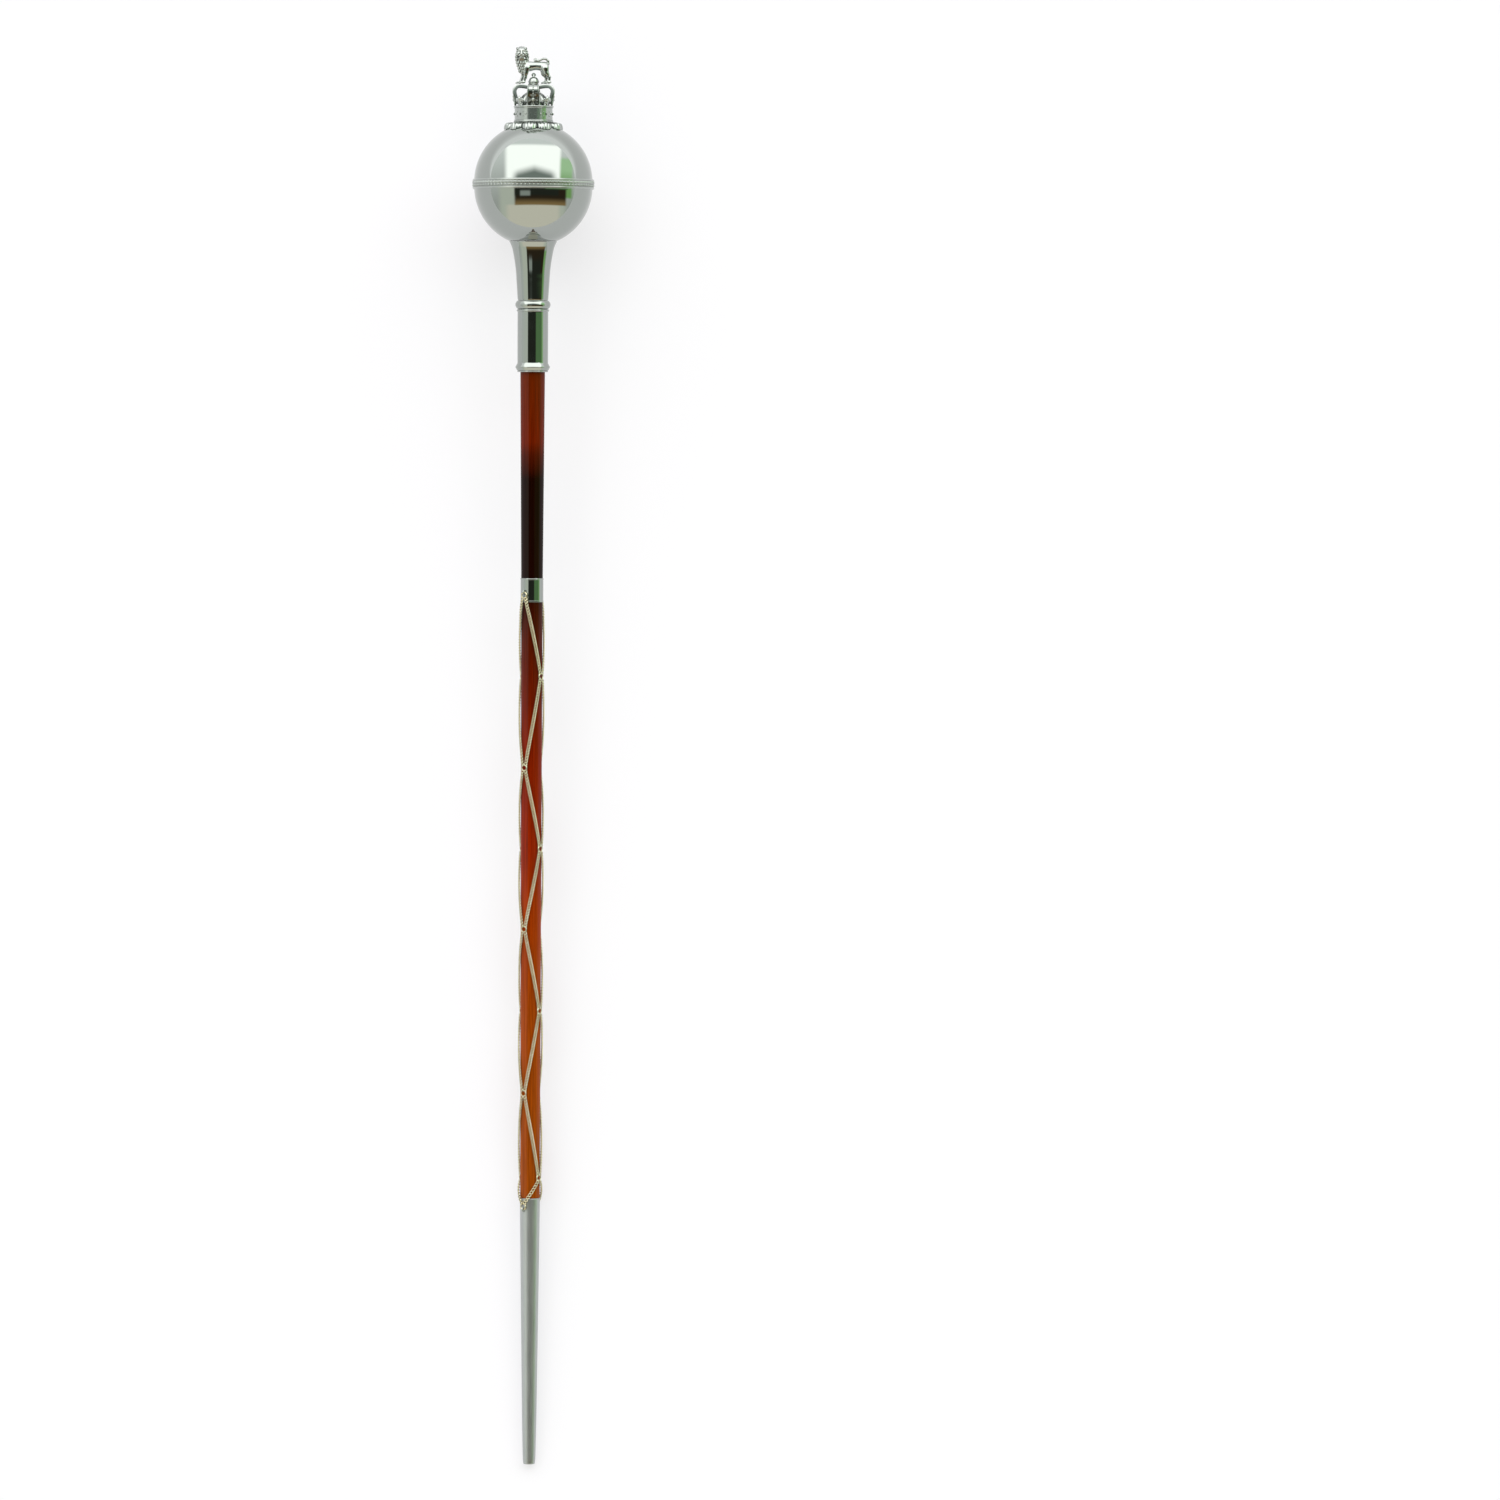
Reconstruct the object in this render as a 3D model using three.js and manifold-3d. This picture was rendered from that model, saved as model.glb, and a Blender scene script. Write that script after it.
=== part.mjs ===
// A drum major's ceremonial mace, laid down on its ball and on the tip of its ferrule.
//
// Units are millimetres. Every piece is drawn on the mace's own axis first: +Y runs from the
// tip of the ferrule (y = 0) to the lion's head, +X is to the side, and +Z is the front of the
// mace, which lies uppermost. The whole mace is then tipped until the ball's strap and the
// ferrule's tip touch the ground plane z = 0.

import * as THREE from 'three';
import { mergeVertices } from 'three/addons/utils/BufferGeometryUtils.js';
import Module from 'manifold-3d';

const wasm = await Module();
wasm.setup();

// ---------------------------------------------------------------- driving dimensions

const GAP = 0.3; // clearance left between neighbouring pieces

const TIP_RADIUS = 6.9; // blunt end of the ferrule
const TIP_STATION = 10; // how far up the ferrule its tip is widest against the ground
const FERRULE_TOP = 287.5;
const FERRULE_TOP_RADIUS = 10.7;
const FERRULE_SOCKET_DEPTH = 60;
const SPIGOT_RADIUS = 9.4; // reduced end of the cane inside the ferrule

const CANE_TOP = 1252; // blind end inside the neck
const CANE_TOP_RADIUS = 13.2;
const CANE_MOUTH_Y = 1175; // where the cane enters the neck
const CANE_COLLAR_Y = 940;
const CANE_COLLAR_RADIUS = 11.5;
const CANE_LOW_RADIUS = 10.5;

const COLLAR_BOTTOM = 928.8;
const COLLAR_TOP = 954.5;
const COLLAR_RADIUS = 12.5;

const NECK_BOTTOM = 1175.3;
const NECK_TUBE_RADIUS = 16.5;
const NECK_END_BEAD_RADIUS = 18.6;
const NECK_MIDDLE_BEAD_Y = 1247.4;
const NECK_MIDDLE_BEAD_RADIUS = 18.9;
const NECK_TOP = 1315.1;

const BALL_RADIUS = 63.5;
const LOWER_CENTRE = 1373.6; // centre of the lower hemisphere
const UPPER_CENTRE = 1378.7; // centre of the upper hemisphere
const SEAM_Y = (LOWER_CENTRE + UPPER_CENTRE) / 2;

const STRAP_RADIUS = 65.4;
const STRAP_HALF_HEIGHT = 5.5;
const STRAP_FLAT_HALF_HEIGHT = 2.8;
const STRAP_REST_DEPTH = 0.6; // how much of the strap its resting flat takes off
const TIP_REST_DEPTH = 0.3; // the same on the ferrule's tip

const LEAF_COUNT = 10;
const LEAF_PHASE = THREE.MathUtils.degToRad(-8); // one leaf's middle, from the front
const LEAF_TIP_RADIUS = 32;
const LEAF_NOTCH_RADIUS = 26.5;
const LEAF_DROP = 2.4; // how far the tips curl down below the crown's seat
const LEAF_EDGE_DROP = 1.2; // how far a leaf's rim rounds down towards the ball
const CROWN_SEAT_Y = 1441.9;
const CROWN_SEAT_RADIUS = 21;
const SEAT_DOME_RISE = 2.4; // the ball's top stands up inside the crown, and the collar over it

const CIRCLET_BOTTOM = CROWN_SEAT_Y + GAP;
const CIRCLET_TOP = 1460;
const CIRCLET_RADIUS = 20.8;
const CIRCLET_WALL = 2.4;
const STONE_SIZE = [7, 2.6, 2]; // round, up and out
const CREST_LEAN = 0.16; // how far crosses and lilies lean out, per height
const CREST_FOOT = -0.8; // they run this far down into the circlet
const CROSS_HEIGHT = 10.8;
const CROSS_THICKNESS = 2;
const LILY_HEIGHT = 10.6;
const LILY_THICKNESS = 1.8;
const ARCH_WIDTH = 13.6;
const ARCH_THICKNESS = 4;
const ARCH_TAPER = 0.35; // share of its width that an arch loses by the middle
const ARCH_PATH = [ // radius and height of an arch's middle line
  [18.6, 1461.5],
  [19.4, 1468],
  [20.7, 1474],
  [20.2, 1478.6],
  [16.8, 1481.2],
  [11.5, 1481.2],
  [3.0, 1479.6],
];
const CAP_RADIUS = 17; // domed cap inside the arches
const CAP_FOOT_Y = 1459;
const CAP_WALL = 1.6;
const ORB_Y = 1485.6;
const ORB_RADIUS = 5.6;

const LION_FOOT_Y = 1483.4; // soles of the paws, on the crown's side arches
const NEAR = 3.3; // how far the lion's near legs stand in front of its middle

const CHAIN_WIDTH = 4;
const CHAIN_THICKNESS = 3.2;
const CHAIN_CLEARANCE = 0.4; // chain above the cane's surface
const RING_RADIUS = 3.25; // middle of the ring's wire
const RING_WIRE_RADIUS = 0.75;
const RING_STANDOFF = 1.2; // ring's middle above the surface it lies on
const RING_LEVELS = [849.5, 751.0, 664.3, 577.6, 489.8, 400.9, 309.9];
const CHAIN_TOP_EYE_Y = 939.5;
const CHAIN_BOTTOM_EYE_Y = 275.7;
const CHAIN_PHASE = THREE.MathUtils.degToRad(-36); // first eye, from the front
const EYE_RADIUS = 2.05;
const EYE_WIRE_RADIUS = 0.7;

const SLIM_SIDES = 24; // facets round the slim turned pieces
const BALL_SIDES = 32;

// ---------------------------------------------------------------- helpers

// Cylindrical placing about the mace's axis. The angle is from the front (+Z) towards +X.
function around(radius, y, angle) {
  return new THREE.Vector3(radius * Math.sin(angle), y, radius * Math.cos(angle));
}

// Solid or ring of revolution about the axis, from [radius, y] pairs that run upwards outside.
function turned(profile, sides) {
  return new THREE.LatheGeometry(profile.map(([r, y]) => new THREE.Vector2(r, y)), sides);
}

// Points of a circular arc as [radius, y] pairs, angles in degrees up from the horizontal.
function arcProfile(centreY, radius, fromDegrees, toDegrees, steps) {
  const points = [];
  for (let i = 0; i <= steps; i += 1) {
    const angle = THREE.MathUtils.degToRad(THREE.MathUtils.lerp(fromDegrees, toDegrees, i / steps));
    points.push([radius * Math.cos(angle), centreY + radius * Math.sin(angle)]);
  }
  return points;
}

// Closed skin over rings of points, capped at both ends. The rings run anticlockwise when
// looked back at from beyond the last one.
function skinned(rings) {
  const count = rings[0].length;
  const positions = rings.flat().flatMap((p) => [p.x, p.y, p.z]);
  const index = [];
  for (let row = 0; row + 1 < rings.length; row += 1) {
    for (let i = 0; i < count; i += 1) {
      const a = row * count + i;
      const b = row * count + ((i + 1) % count);
      index.push(a, b, b + count, a, b + count, a + count);
    }
  }
  const last = (rings.length - 1) * count;
  for (let i = 1; i + 1 < count; i += 1) {
    index.push(0, i + 1, i);
    index.push(last, last + i, last + i + 1);
  }
  const geometry = new THREE.BufferGeometry();
  geometry.setAttribute('position', new THREE.Float32BufferAttribute(positions, 3));
  geometry.setIndex(index);
  return geometry;
}

// A geometry as a manifold solid: shared vertices merged, collapsed triangles left out.
function toSolid(geometry) {
  const bare = new THREE.BufferGeometry();
  bare.setAttribute('position', geometry.attributes.position.clone());
  if (geometry.index) bare.setIndex(geometry.index.clone());
  const merged = mergeVertices(bare, 1e-4);
  const corners = merged.index.array;
  const kept = [];
  for (let i = 0; i < corners.length; i += 3) {
    const [a, b, c] = [corners[i], corners[i + 1], corners[i + 2]];
    if (a !== b && b !== c && c !== a) kept.push(a, b, c);
  }
  return new wasm.Manifold(new wasm.Mesh({
    numProp: 3,
    vertProperties: new Float32Array(merged.attributes.position.array),
    triVerts: new Uint32Array(kept),
  }));
}

function toGeometry(solid) {
  const mesh = solid.getMesh();
  const geometry = new THREE.BufferGeometry();
  geometry.setAttribute('position', new THREE.Float32BufferAttribute(mesh.vertProperties, 3));
  geometry.setIndex([...mesh.triVerts]);
  return geometry;
}

function joined(geometries) {
  return geometries.map(toSolid).reduce((whole, next) => whole.add(next));
}

function moved(geometry, x, y, z) {
  geometry.translate(x, y, z);
  return geometry;
}

// ---------------------------------------------------------------- surfaces along the cane

function caneRadius(y) {
  if (y > CANE_COLLAR_Y) {
    const t = (y - CANE_COLLAR_Y) / (CANE_MOUTH_Y - CANE_COLLAR_Y);
    return THREE.MathUtils.lerp(CANE_COLLAR_RADIUS, CANE_TOP_RADIUS, Math.min(t, 1));
  }
  const t = (y - FERRULE_TOP) / (CANE_COLLAR_Y - FERRULE_TOP);
  return THREE.MathUtils.lerp(CANE_LOW_RADIUS, CANE_COLLAR_RADIUS, t);
}

// Radius of whatever the chain lies on: collar, cane or ferrule, with an easy ramp off the collar.
function surfaceRadius(y) {
  const ramp = THREE.MathUtils.smoothstep(y, COLLAR_BOTTOM - 26, COLLAR_BOTTOM - 4);
  const onCane = y > FERRULE_TOP + GAP ? caneRadius(y) : FERRULE_TOP_RADIUS;
  return THREE.MathUtils.lerp(onCane, COLLAR_RADIUS, ramp);
}

// ---------------------------------------------------------------- ferrule, cane and collar

// Wire eye standing on a turned piece, its hole lying along the way round the mace.
function wireEye(surface, y, angle) {
  const eye = new THREE.TorusGeometry(EYE_RADIUS, EYE_WIRE_RADIUS, 4, 8);
  eye.rotateY(Math.PI / 2 + angle);
  const centre = around(surface + RING_STANDOFF, y, angle);
  return moved(eye, centre.x, centre.y, centre.z);
}

function withEyes(body, surface, y) {
  const eyes = [0, Math.PI].map((half) => wireEye(surface, y, CHAIN_PHASE + half));
  return joined([body, ...eyes]);
}

function buildFerrule() {
  const profile = [
    [0, 0],
    [5.9, 0],
    [6.5, 1.5],
    [TIP_RADIUS, TIP_STATION],
    [7.8, 53],
    [9.5, 181],
    [FERRULE_TOP_RADIUS, FERRULE_TOP],
    [0, FERRULE_TOP],
  ];
  const body = withEyes(turned(profile, SLIM_SIDES), FERRULE_TOP_RADIUS, CHAIN_BOTTOM_EYE_Y);
  const boreRadius = SPIGOT_RADIUS + GAP;
  const boreBottom = FERRULE_TOP - FERRULE_SOCKET_DEPTH;
  const boreTop = FERRULE_TOP + 1;
  const bore = [[0, boreBottom], [boreRadius, boreBottom], [boreRadius, boreTop], [0, boreTop]];
  return body.subtract(toSolid(turned(bore, SLIM_SIDES)));
}

function buildCane() {
  const shoulder = FERRULE_TOP + GAP;
  const profile = [
    [0, FERRULE_TOP - FERRULE_SOCKET_DEPTH + GAP],
    [SPIGOT_RADIUS, FERRULE_TOP - FERRULE_SOCKET_DEPTH + GAP],
    [SPIGOT_RADIUS, shoulder],
    [caneRadius(shoulder), shoulder],
    [CANE_COLLAR_RADIUS, CANE_COLLAR_Y],
    [CANE_TOP_RADIUS, CANE_MOUTH_Y],
    [CANE_TOP_RADIUS, CANE_TOP],
    [0, CANE_TOP],
  ];
  return toSolid(turned(profile, SLIM_SIDES));
}

function buildChainCollar() {
  const lip = 0.5;
  const profile = [
    [0, COLLAR_BOTTOM],
    [COLLAR_RADIUS - lip, COLLAR_BOTTOM],
    [COLLAR_RADIUS, COLLAR_BOTTOM + lip],
    [COLLAR_RADIUS, COLLAR_TOP - lip],
    [COLLAR_RADIUS - lip, COLLAR_TOP],
    [0, COLLAR_TOP],
  ];
  const body = withEyes(turned(profile, SLIM_SIDES), COLLAR_RADIUS, CHAIN_TOP_EYE_Y);
  const below = COLLAR_BOTTOM - 1;
  const above = COLLAR_TOP + 1;
  const bore = [
    [0, below],
    [caneRadius(below) + GAP, below],
    [caneRadius(above) + GAP, above],
    [0, above],
  ];
  return body.subtract(toSolid(turned(bore, SLIM_SIDES)));
}

// ---------------------------------------------------------------- chain net

// Points where strands meet, from the collar's eyes down to the ferrule's eyes. Each level
// holds two, on opposite sides, and every other level is turned by a quarter.
function chainKnots() {
  const levels = [
    CHAIN_TOP_EYE_Y - RING_RADIUS,
    ...RING_LEVELS,
    CHAIN_BOTTOM_EYE_Y + RING_RADIUS,
  ];
  return levels.flatMap((y, level) => [0, 1].map((side) => ({
    level,
    y,
    angle: CHAIN_PHASE + Math.PI * side + (level % 2) * Math.PI / 2,
  })));
}

// Open ring that hooks an eye, lying on the surface at a knot.
function hookedRing(knot) {
  const ring = new THREE.TorusGeometry(RING_RADIUS, RING_WIRE_RADIUS, 4, 8);
  ring.rotateY(knot.angle);
  const centre = around(surfaceRadius(knot.y) + RING_STANDOFF, knot.y, knot.angle);
  return moved(ring, centre.x, centre.y, centre.z);
}

// Ring whose hole is filled by the last links of the four strands that meet in it.
function filledRing(knot) {
  const radius = RING_RADIUS + RING_WIRE_RADIUS;
  const depth = CHAIN_THICKNESS + 0.2;
  const disc = new THREE.CylinderGeometry(radius, radius, depth, 8);
  disc.rotateX(Math.PI / 2);
  disc.rotateY(knot.angle);
  const lift = CHAIN_CLEARANCE + CHAIN_THICKNESS / 2 + 0.1;
  const centre = around(surfaceRadius(knot.y) + lift, knot.y, knot.angle);
  return moved(disc, centre.x, centre.y, centre.z);
}

// One strand that winds a quarter turn down the cane: a bar of the chain's outer size, drawn
// in at both ends where it passes into a ring.
function chainStrand(knot, lowerY, turn) {
  const steps = 4;
  const fromY = knot.y - RING_RADIUS * 0.85;
  const toY = lowerY + RING_RADIUS * 0.85;
  const sideLean = Math.atan2(turn * surfaceRadius(knot.y), fromY - toY);
  const rings = [];
  for (let i = 0; i <= steps; i += 1) {
    const y = THREE.MathUtils.lerp(fromY, toY, i / steps);
    const angle = knot.angle + turn * i / steps;
    const middle = surfaceRadius(y) + CHAIN_CLEARANCE + CHAIN_THICKNESS / 2;
    const outwards = around(1, 0, angle);
    const sideways = around(Math.cos(sideLean), Math.sin(sideLean), angle + Math.PI / 2);
    const isEnd = i === 0 || i === steps;
    const halfWidth = CHAIN_WIDTH / 2 * (isEnd ? 0.28 : 1);
    const halfDepth = CHAIN_THICKNESS / 2 * (isEnd ? 0.6 : 1);
    const corners = [[0, -1], [1, 0], [0, 1], [-1, 0]];
    rings.push(corners.map(([u, v]) => around(middle, y, angle)
      .addScaledVector(sideways, u * halfWidth)
      .addScaledVector(outwards, v * halfDepth)));
  }
  return skinned(rings);
}

function buildChainNet() {
  const knots = chainKnots();
  const bottomLevel = RING_LEVELS.length + 1;
  const hooksEye = (knot) => knot.level === 0 || knot.level === bottomLevel;
  const pieces = knots.map((knot) => (hooksEye(knot) ? hookedRing(knot) : filledRing(knot)));
  for (const knot of knots) {
    const next = knots.find((other) => other.level === knot.level + 1);
    if (next) {
      pieces.push(chainStrand(knot, next.y, Math.PI / 2));
      pieces.push(chainStrand(knot, next.y, -Math.PI / 2));
    }
  }
  return joined(pieces);
}

// ---------------------------------------------------------------- neck

function buildNeck() {
  const endBead = arcProfile(NECK_BOTTOM + 4.4, 4.1, -66, 66, 3)
    .map(([r, y]) => [NECK_END_BEAD_RADIUS - 4.1 + r, y]);
  const middleBead = arcProfile(NECK_MIDDLE_BEAD_Y, 6, -62, 62, 3)
    .map(([r, y]) => [NECK_MIDDLE_BEAD_RADIUS - 6 + r, y]);
  const flare = [
    [17.3, 1272],
    [18.4, 1287.5],
    [20.3, 1298.5],
    [23.2, 1310],
    [25.6, NECK_TOP],
  ];
  const profile = [
    [0, NECK_BOTTOM],
    [NECK_TUBE_RADIUS - 0.6, NECK_BOTTOM],
    ...endBead,
    [NECK_TUBE_RADIUS, NECK_BOTTOM + 9.6],
    [NECK_TUBE_RADIUS, NECK_MIDDLE_BEAD_Y - 7],
    ...middleBead,
    [NECK_TUBE_RADIUS + 0.1, NECK_MIDDLE_BEAD_Y + 7],
    ...flare,
    [0, NECK_TOP],
  ];
  const boreRadius = CANE_TOP_RADIUS + GAP;
  const boreTop = CANE_TOP + GAP;
  const boreBottom = NECK_BOTTOM - 1;
  const bore = [[0, boreBottom], [boreRadius, boreBottom], [boreRadius, boreTop], [0, boreTop]];
  return toSolid(turned(profile, SLIM_SIDES)).subtract(toSolid(turned(bore, SLIM_SIDES)));
}

// ---------------------------------------------------------------- ball and strap

function buildBallLowerHalf() {
  const cutAngle = THREE.MathUtils.radToDeg(Math.asin((NECK_TOP + GAP - LOWER_CENTRE) / BALL_RADIUS));
  const profile = [
    [0, NECK_TOP + GAP],
    ...arcProfile(LOWER_CENTRE, BALL_RADIUS, cutAngle, 0, 7),
    [BALL_RADIUS, SEAM_Y - GAP / 2],
    [0, SEAM_Y - GAP / 2],
  ];
  return toSolid(turned(profile, BALL_SIDES));
}

function buildBallUpperHalf() {
  const profile = [
    [0, SEAM_Y + GAP / 2],
    [BALL_RADIUS, SEAM_Y + GAP / 2],
    ...arcProfile(UPPER_CENTRE, BALL_RADIUS, 0, 90, 9),
  ];
  return toSolid(turned(profile, BALL_SIDES));
}

function buildStrap() {
  const inner = BALL_RADIUS + GAP;
  const edge = STRAP_RADIUS - 0.9;
  const profile = [
    [inner, SEAM_Y - STRAP_HALF_HEIGHT],
    [edge, SEAM_Y - STRAP_HALF_HEIGHT],
    [STRAP_RADIUS, SEAM_Y - STRAP_FLAT_HALF_HEIGHT],
    [STRAP_RADIUS, SEAM_Y + STRAP_FLAT_HALF_HEIGHT],
    [edge, SEAM_Y + STRAP_HALF_HEIGHT],
    [inner, SEAM_Y + STRAP_HALF_HEIGHT],
    [inner, SEAM_Y - STRAP_HALF_HEIGHT],
  ];
  return toSolid(turned(profile, 40));
}

// ---------------------------------------------------------------- leaf collar

// Height of the leaves' upper side: level at the crown's seat, then curling down to the tips.
function leafTopY(radius) {
  const t = Math.max(radius - CROWN_SEAT_RADIUS, 0) / (LEAF_TIP_RADIUS - CROWN_SEAT_RADIUS);
  return CROWN_SEAT_Y - LEAF_DROP * t ** 1.9;
}

// Height of their underside, which lies on the ball.
function leafUnderY(radius) {
  return UPPER_CENTRE + Math.sqrt((BALL_RADIUS + GAP) ** 2 - radius ** 2);
}

function buildLeafCollar() {
  const columnsPerLeaf = 5;
  const columns = LEAF_COUNT * columnsPerLeaf;
  const rows = [];
  const addRow = (radiusAt, heightAt) => {
    const row = [];
    for (let i = 0; i < columns; i += 1) {
      const across = (i % columnsPerLeaf) / columnsPerLeaf - 0.5;
      const scallop = Math.cos(Math.PI * across) ** 0.7;
      const edge = THREE.MathUtils.lerp(LEAF_NOTCH_RADIUS, LEAF_TIP_RADIUS, scallop);
      const radius = radiusAt(edge);
      const angle = LEAF_PHASE + (i / columnsPerLeaf - 0.5) * (2 * Math.PI / LEAF_COUNT);
      row.push(around(radius, heightAt(radius, scallop), angle));
    }
    rows.push(row);
  };
  const inSeat = (fraction) => () => fraction * CROWN_SEAT_RADIUS;
  const onLeaf = (fraction) => (edge) => THREE.MathUtils.lerp(CROWN_SEAT_RADIUS, edge, fraction);
  addRow(inSeat(0), leafUnderY);
  addRow(inSeat(0.6), leafUnderY);
  addRow(inSeat(1), leafUnderY);
  addRow(onLeaf(0.4), leafUnderY);
  addRow(onLeaf(1), leafUnderY);
  addRow(onLeaf(1), (radius, scallop) => leafTopY(radius) - LEAF_EDGE_DROP - 0.6 * (1 - scallop));
  addRow(onLeaf(0.85), (radius, scallop) => leafTopY(radius) - 0.2 - 1.4 * (1 - scallop));
  addRow(onLeaf(0.4), (radius, scallop) => leafTopY(radius) - 0.7 * (1 - scallop));
  addRow(inSeat(1), () => CROWN_SEAT_Y);
  addRow(inSeat(0.85), () => CROWN_SEAT_Y);
  addRow(inSeat(0), () => CROWN_SEAT_Y + SEAT_DOME_RISE);
  return toSolid(skinned(rows));
}

// ---------------------------------------------------------------- crown

// Flat outline [[x, y], ...] made into a plate that curves round the circlet and leans out.
function crestPlate(outline, angle, thickness) {
  const shape = new THREE.Shape(outline.map(([x, y]) => new THREE.Vector2(x, y)));
  const plate = new THREE.ExtrudeGeometry(shape, { depth: thickness, bevelEnabled: false });
  const position = plate.attributes.position;
  for (let i = 0; i < position.count; i += 1) {
    const up = position.getY(i);
    const radius = CIRCLET_RADIUS - thickness + position.getZ(i) + CREST_LEAN * Math.max(up, 0);
    const point = around(radius, CIRCLET_TOP + up, angle + position.getX(i) / CIRCLET_RADIUS);
    position.setXYZ(i, point.x, point.y, point.z);
  }
  return plate;
}

// Right half of an outline, mirrored to make the whole.
function mirrored(half) {
  return [...half, ...half.map(([x, y]) => [-x, y]).reverse()];
}

// Cross with arms that splay towards their ends.
function crestCross(angle) {
  const half = [
    [3.4, CREST_FOOT],
    [3.4, 0.8],
    [1.6, 3.8],
    [5.4, 3.0],
    [5.4, 8.6],
    [1.6, 7.8],
    [3.4, CROSS_HEIGHT],
  ];
  return crestPlate(mirrored(half), angle, CROSS_THICKNESS);
}

// Heraldic lily: a pointed middle petal between two that turn outwards.
function crestLily(angle) {
  const half = [
    [1.8, CREST_FOOT],
    [1.4, 3.0],
    [3.8, 2.6],
    [5.0, 5.4],
    [3.6, 7.6],
    [2.0, 6.2],
    [1.8, 8.6],
    [0.4, LILY_HEIGHT],
  ];
  return crestPlate(mirrored(half), angle, LILY_THICKNESS);
}

// Half arch from a cross up over to the middle, as a bar swept in the plane of its angle.
function halfArch(angle) {
  const path = new THREE.CatmullRomCurve3(ARCH_PATH.map(([radius, y]) => around(radius, y, angle)));
  const steps = 7;
  const sideways = around(1, 0, angle + Math.PI / 2);
  const rings = [];
  for (let i = 0; i <= steps; i += 1) {
    const t = i / steps;
    const centre = path.getPointAt(t);
    const outwards = new THREE.Vector3().crossVectors(path.getTangentAt(t), sideways).negate();
    const halfWidth = ARCH_WIDTH / 2 * (1 - ARCH_TAPER * t * t);
    const corners = [[-1, -0.7], [-0.9, 0.85], [0, 1], [0.9, 0.85], [1, -0.7]];
    rings.push(corners.map(([u, v]) => centre.clone()
      .addScaledVector(sideways, u * halfWidth)
      .addScaledVector(outwards, v * ARCH_THICKNESS / 2)));
  }
  return skinned(rings);
}

function circlet() {
  const inner = CIRCLET_RADIUS - CIRCLET_WALL;
  return turned([
    [inner, CIRCLET_BOTTOM],
    [CIRCLET_RADIUS + 0.4, CIRCLET_BOTTOM],
    [CIRCLET_RADIUS + 0.4, CIRCLET_BOTTOM + 1.8],
    [CIRCLET_RADIUS - 0.4, CIRCLET_BOTTOM + 2.6],
    [CIRCLET_RADIUS - 0.4, CIRCLET_TOP - 2.6],
    [CIRCLET_RADIUS + 0.4, CIRCLET_TOP - 1.8],
    [CIRCLET_RADIUS + 0.2, CIRCLET_TOP],
    [inner, CIRCLET_TOP],
    [inner, CIRCLET_BOTTOM],
  ], SLIM_SIDES);
}

// An oblong stone set in the circlet at each quarter.
function circletStones() {
  const middle = (CIRCLET_BOTTOM + CIRCLET_TOP) / 2;
  return [0, 1, 2, 3].map((quarter) => {
    const angle = quarter * Math.PI / 2;
    const stone = new THREE.BoxGeometry(...STONE_SIZE);
    stone.rotateY(angle);
    const place = around(CIRCLET_RADIUS - 0.7, middle, angle);
    return moved(stone, place.x, place.y, place.z);
  });
}

// Domed shell that closes the crown inside its arches, with a stem up to where they meet.
function cap() {
  const dome = (radius, steps) => arcProfile(CAP_FOOT_Y, radius, 0, 90, steps);
  const rim = CIRCLET_RADIUS - CIRCLET_WALL + 0.2;
  const shell = turned([
    [0, CAP_FOOT_Y + CAP_RADIUS - CAP_WALL],
    ...dome(CAP_RADIUS - CAP_WALL, 3).slice(0, -1).reverse(),
    [CAP_RADIUS - CAP_WALL, CAP_FOOT_Y - 1.5],
    [rim, CAP_FOOT_Y - 1.5],
    [rim, CAP_FOOT_Y],
    ...dome(CAP_RADIUS, 4),
  ], SLIM_SIDES);
  const stemFoot = CAP_FOOT_Y + CAP_RADIUS - CAP_WALL / 2;
  const stem = turned([[0, stemFoot], [3, stemFoot], [3, 1479], [0, 1479]], 12);
  return [shell, stem];
}

function orbAndCross() {
  const hub = turned([
    [0, 1477.6],
    [3.4, 1477.6],
    [5.2, 1479.2],
    [4.6, 1481],
    [5.0, 1482.2],
    [0, 1482.2],
  ], 12);
  const orb = turned(arcProfile(ORB_Y, ORB_RADIUS, -90, 90, 7), 14);
  const crossStem = moved(new THREE.BoxGeometry(2.4, 5, 2), 0, ORB_Y + 7, 0);
  const crossArms = moved(new THREE.BoxGeometry(4.8, 2, 2.2), 0, ORB_Y + 7.6, 0);
  return [hub, orb, crossStem, crossArms];
}

function buildCrown() {
  const pieces = [circlet(), ...circletStones(), ...cap(), ...orbAndCross()];
  for (let quarter = 0; quarter < 4; quarter += 1) {
    const angle = quarter * Math.PI / 2;
    pieces.push(crestCross(angle));
    pieces.push(crestLily(angle + Math.PI / 4));
    pieces.push(halfArch(angle));
  }
  return joined(pieces);
}

// ---------------------------------------------------------------- lion

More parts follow.
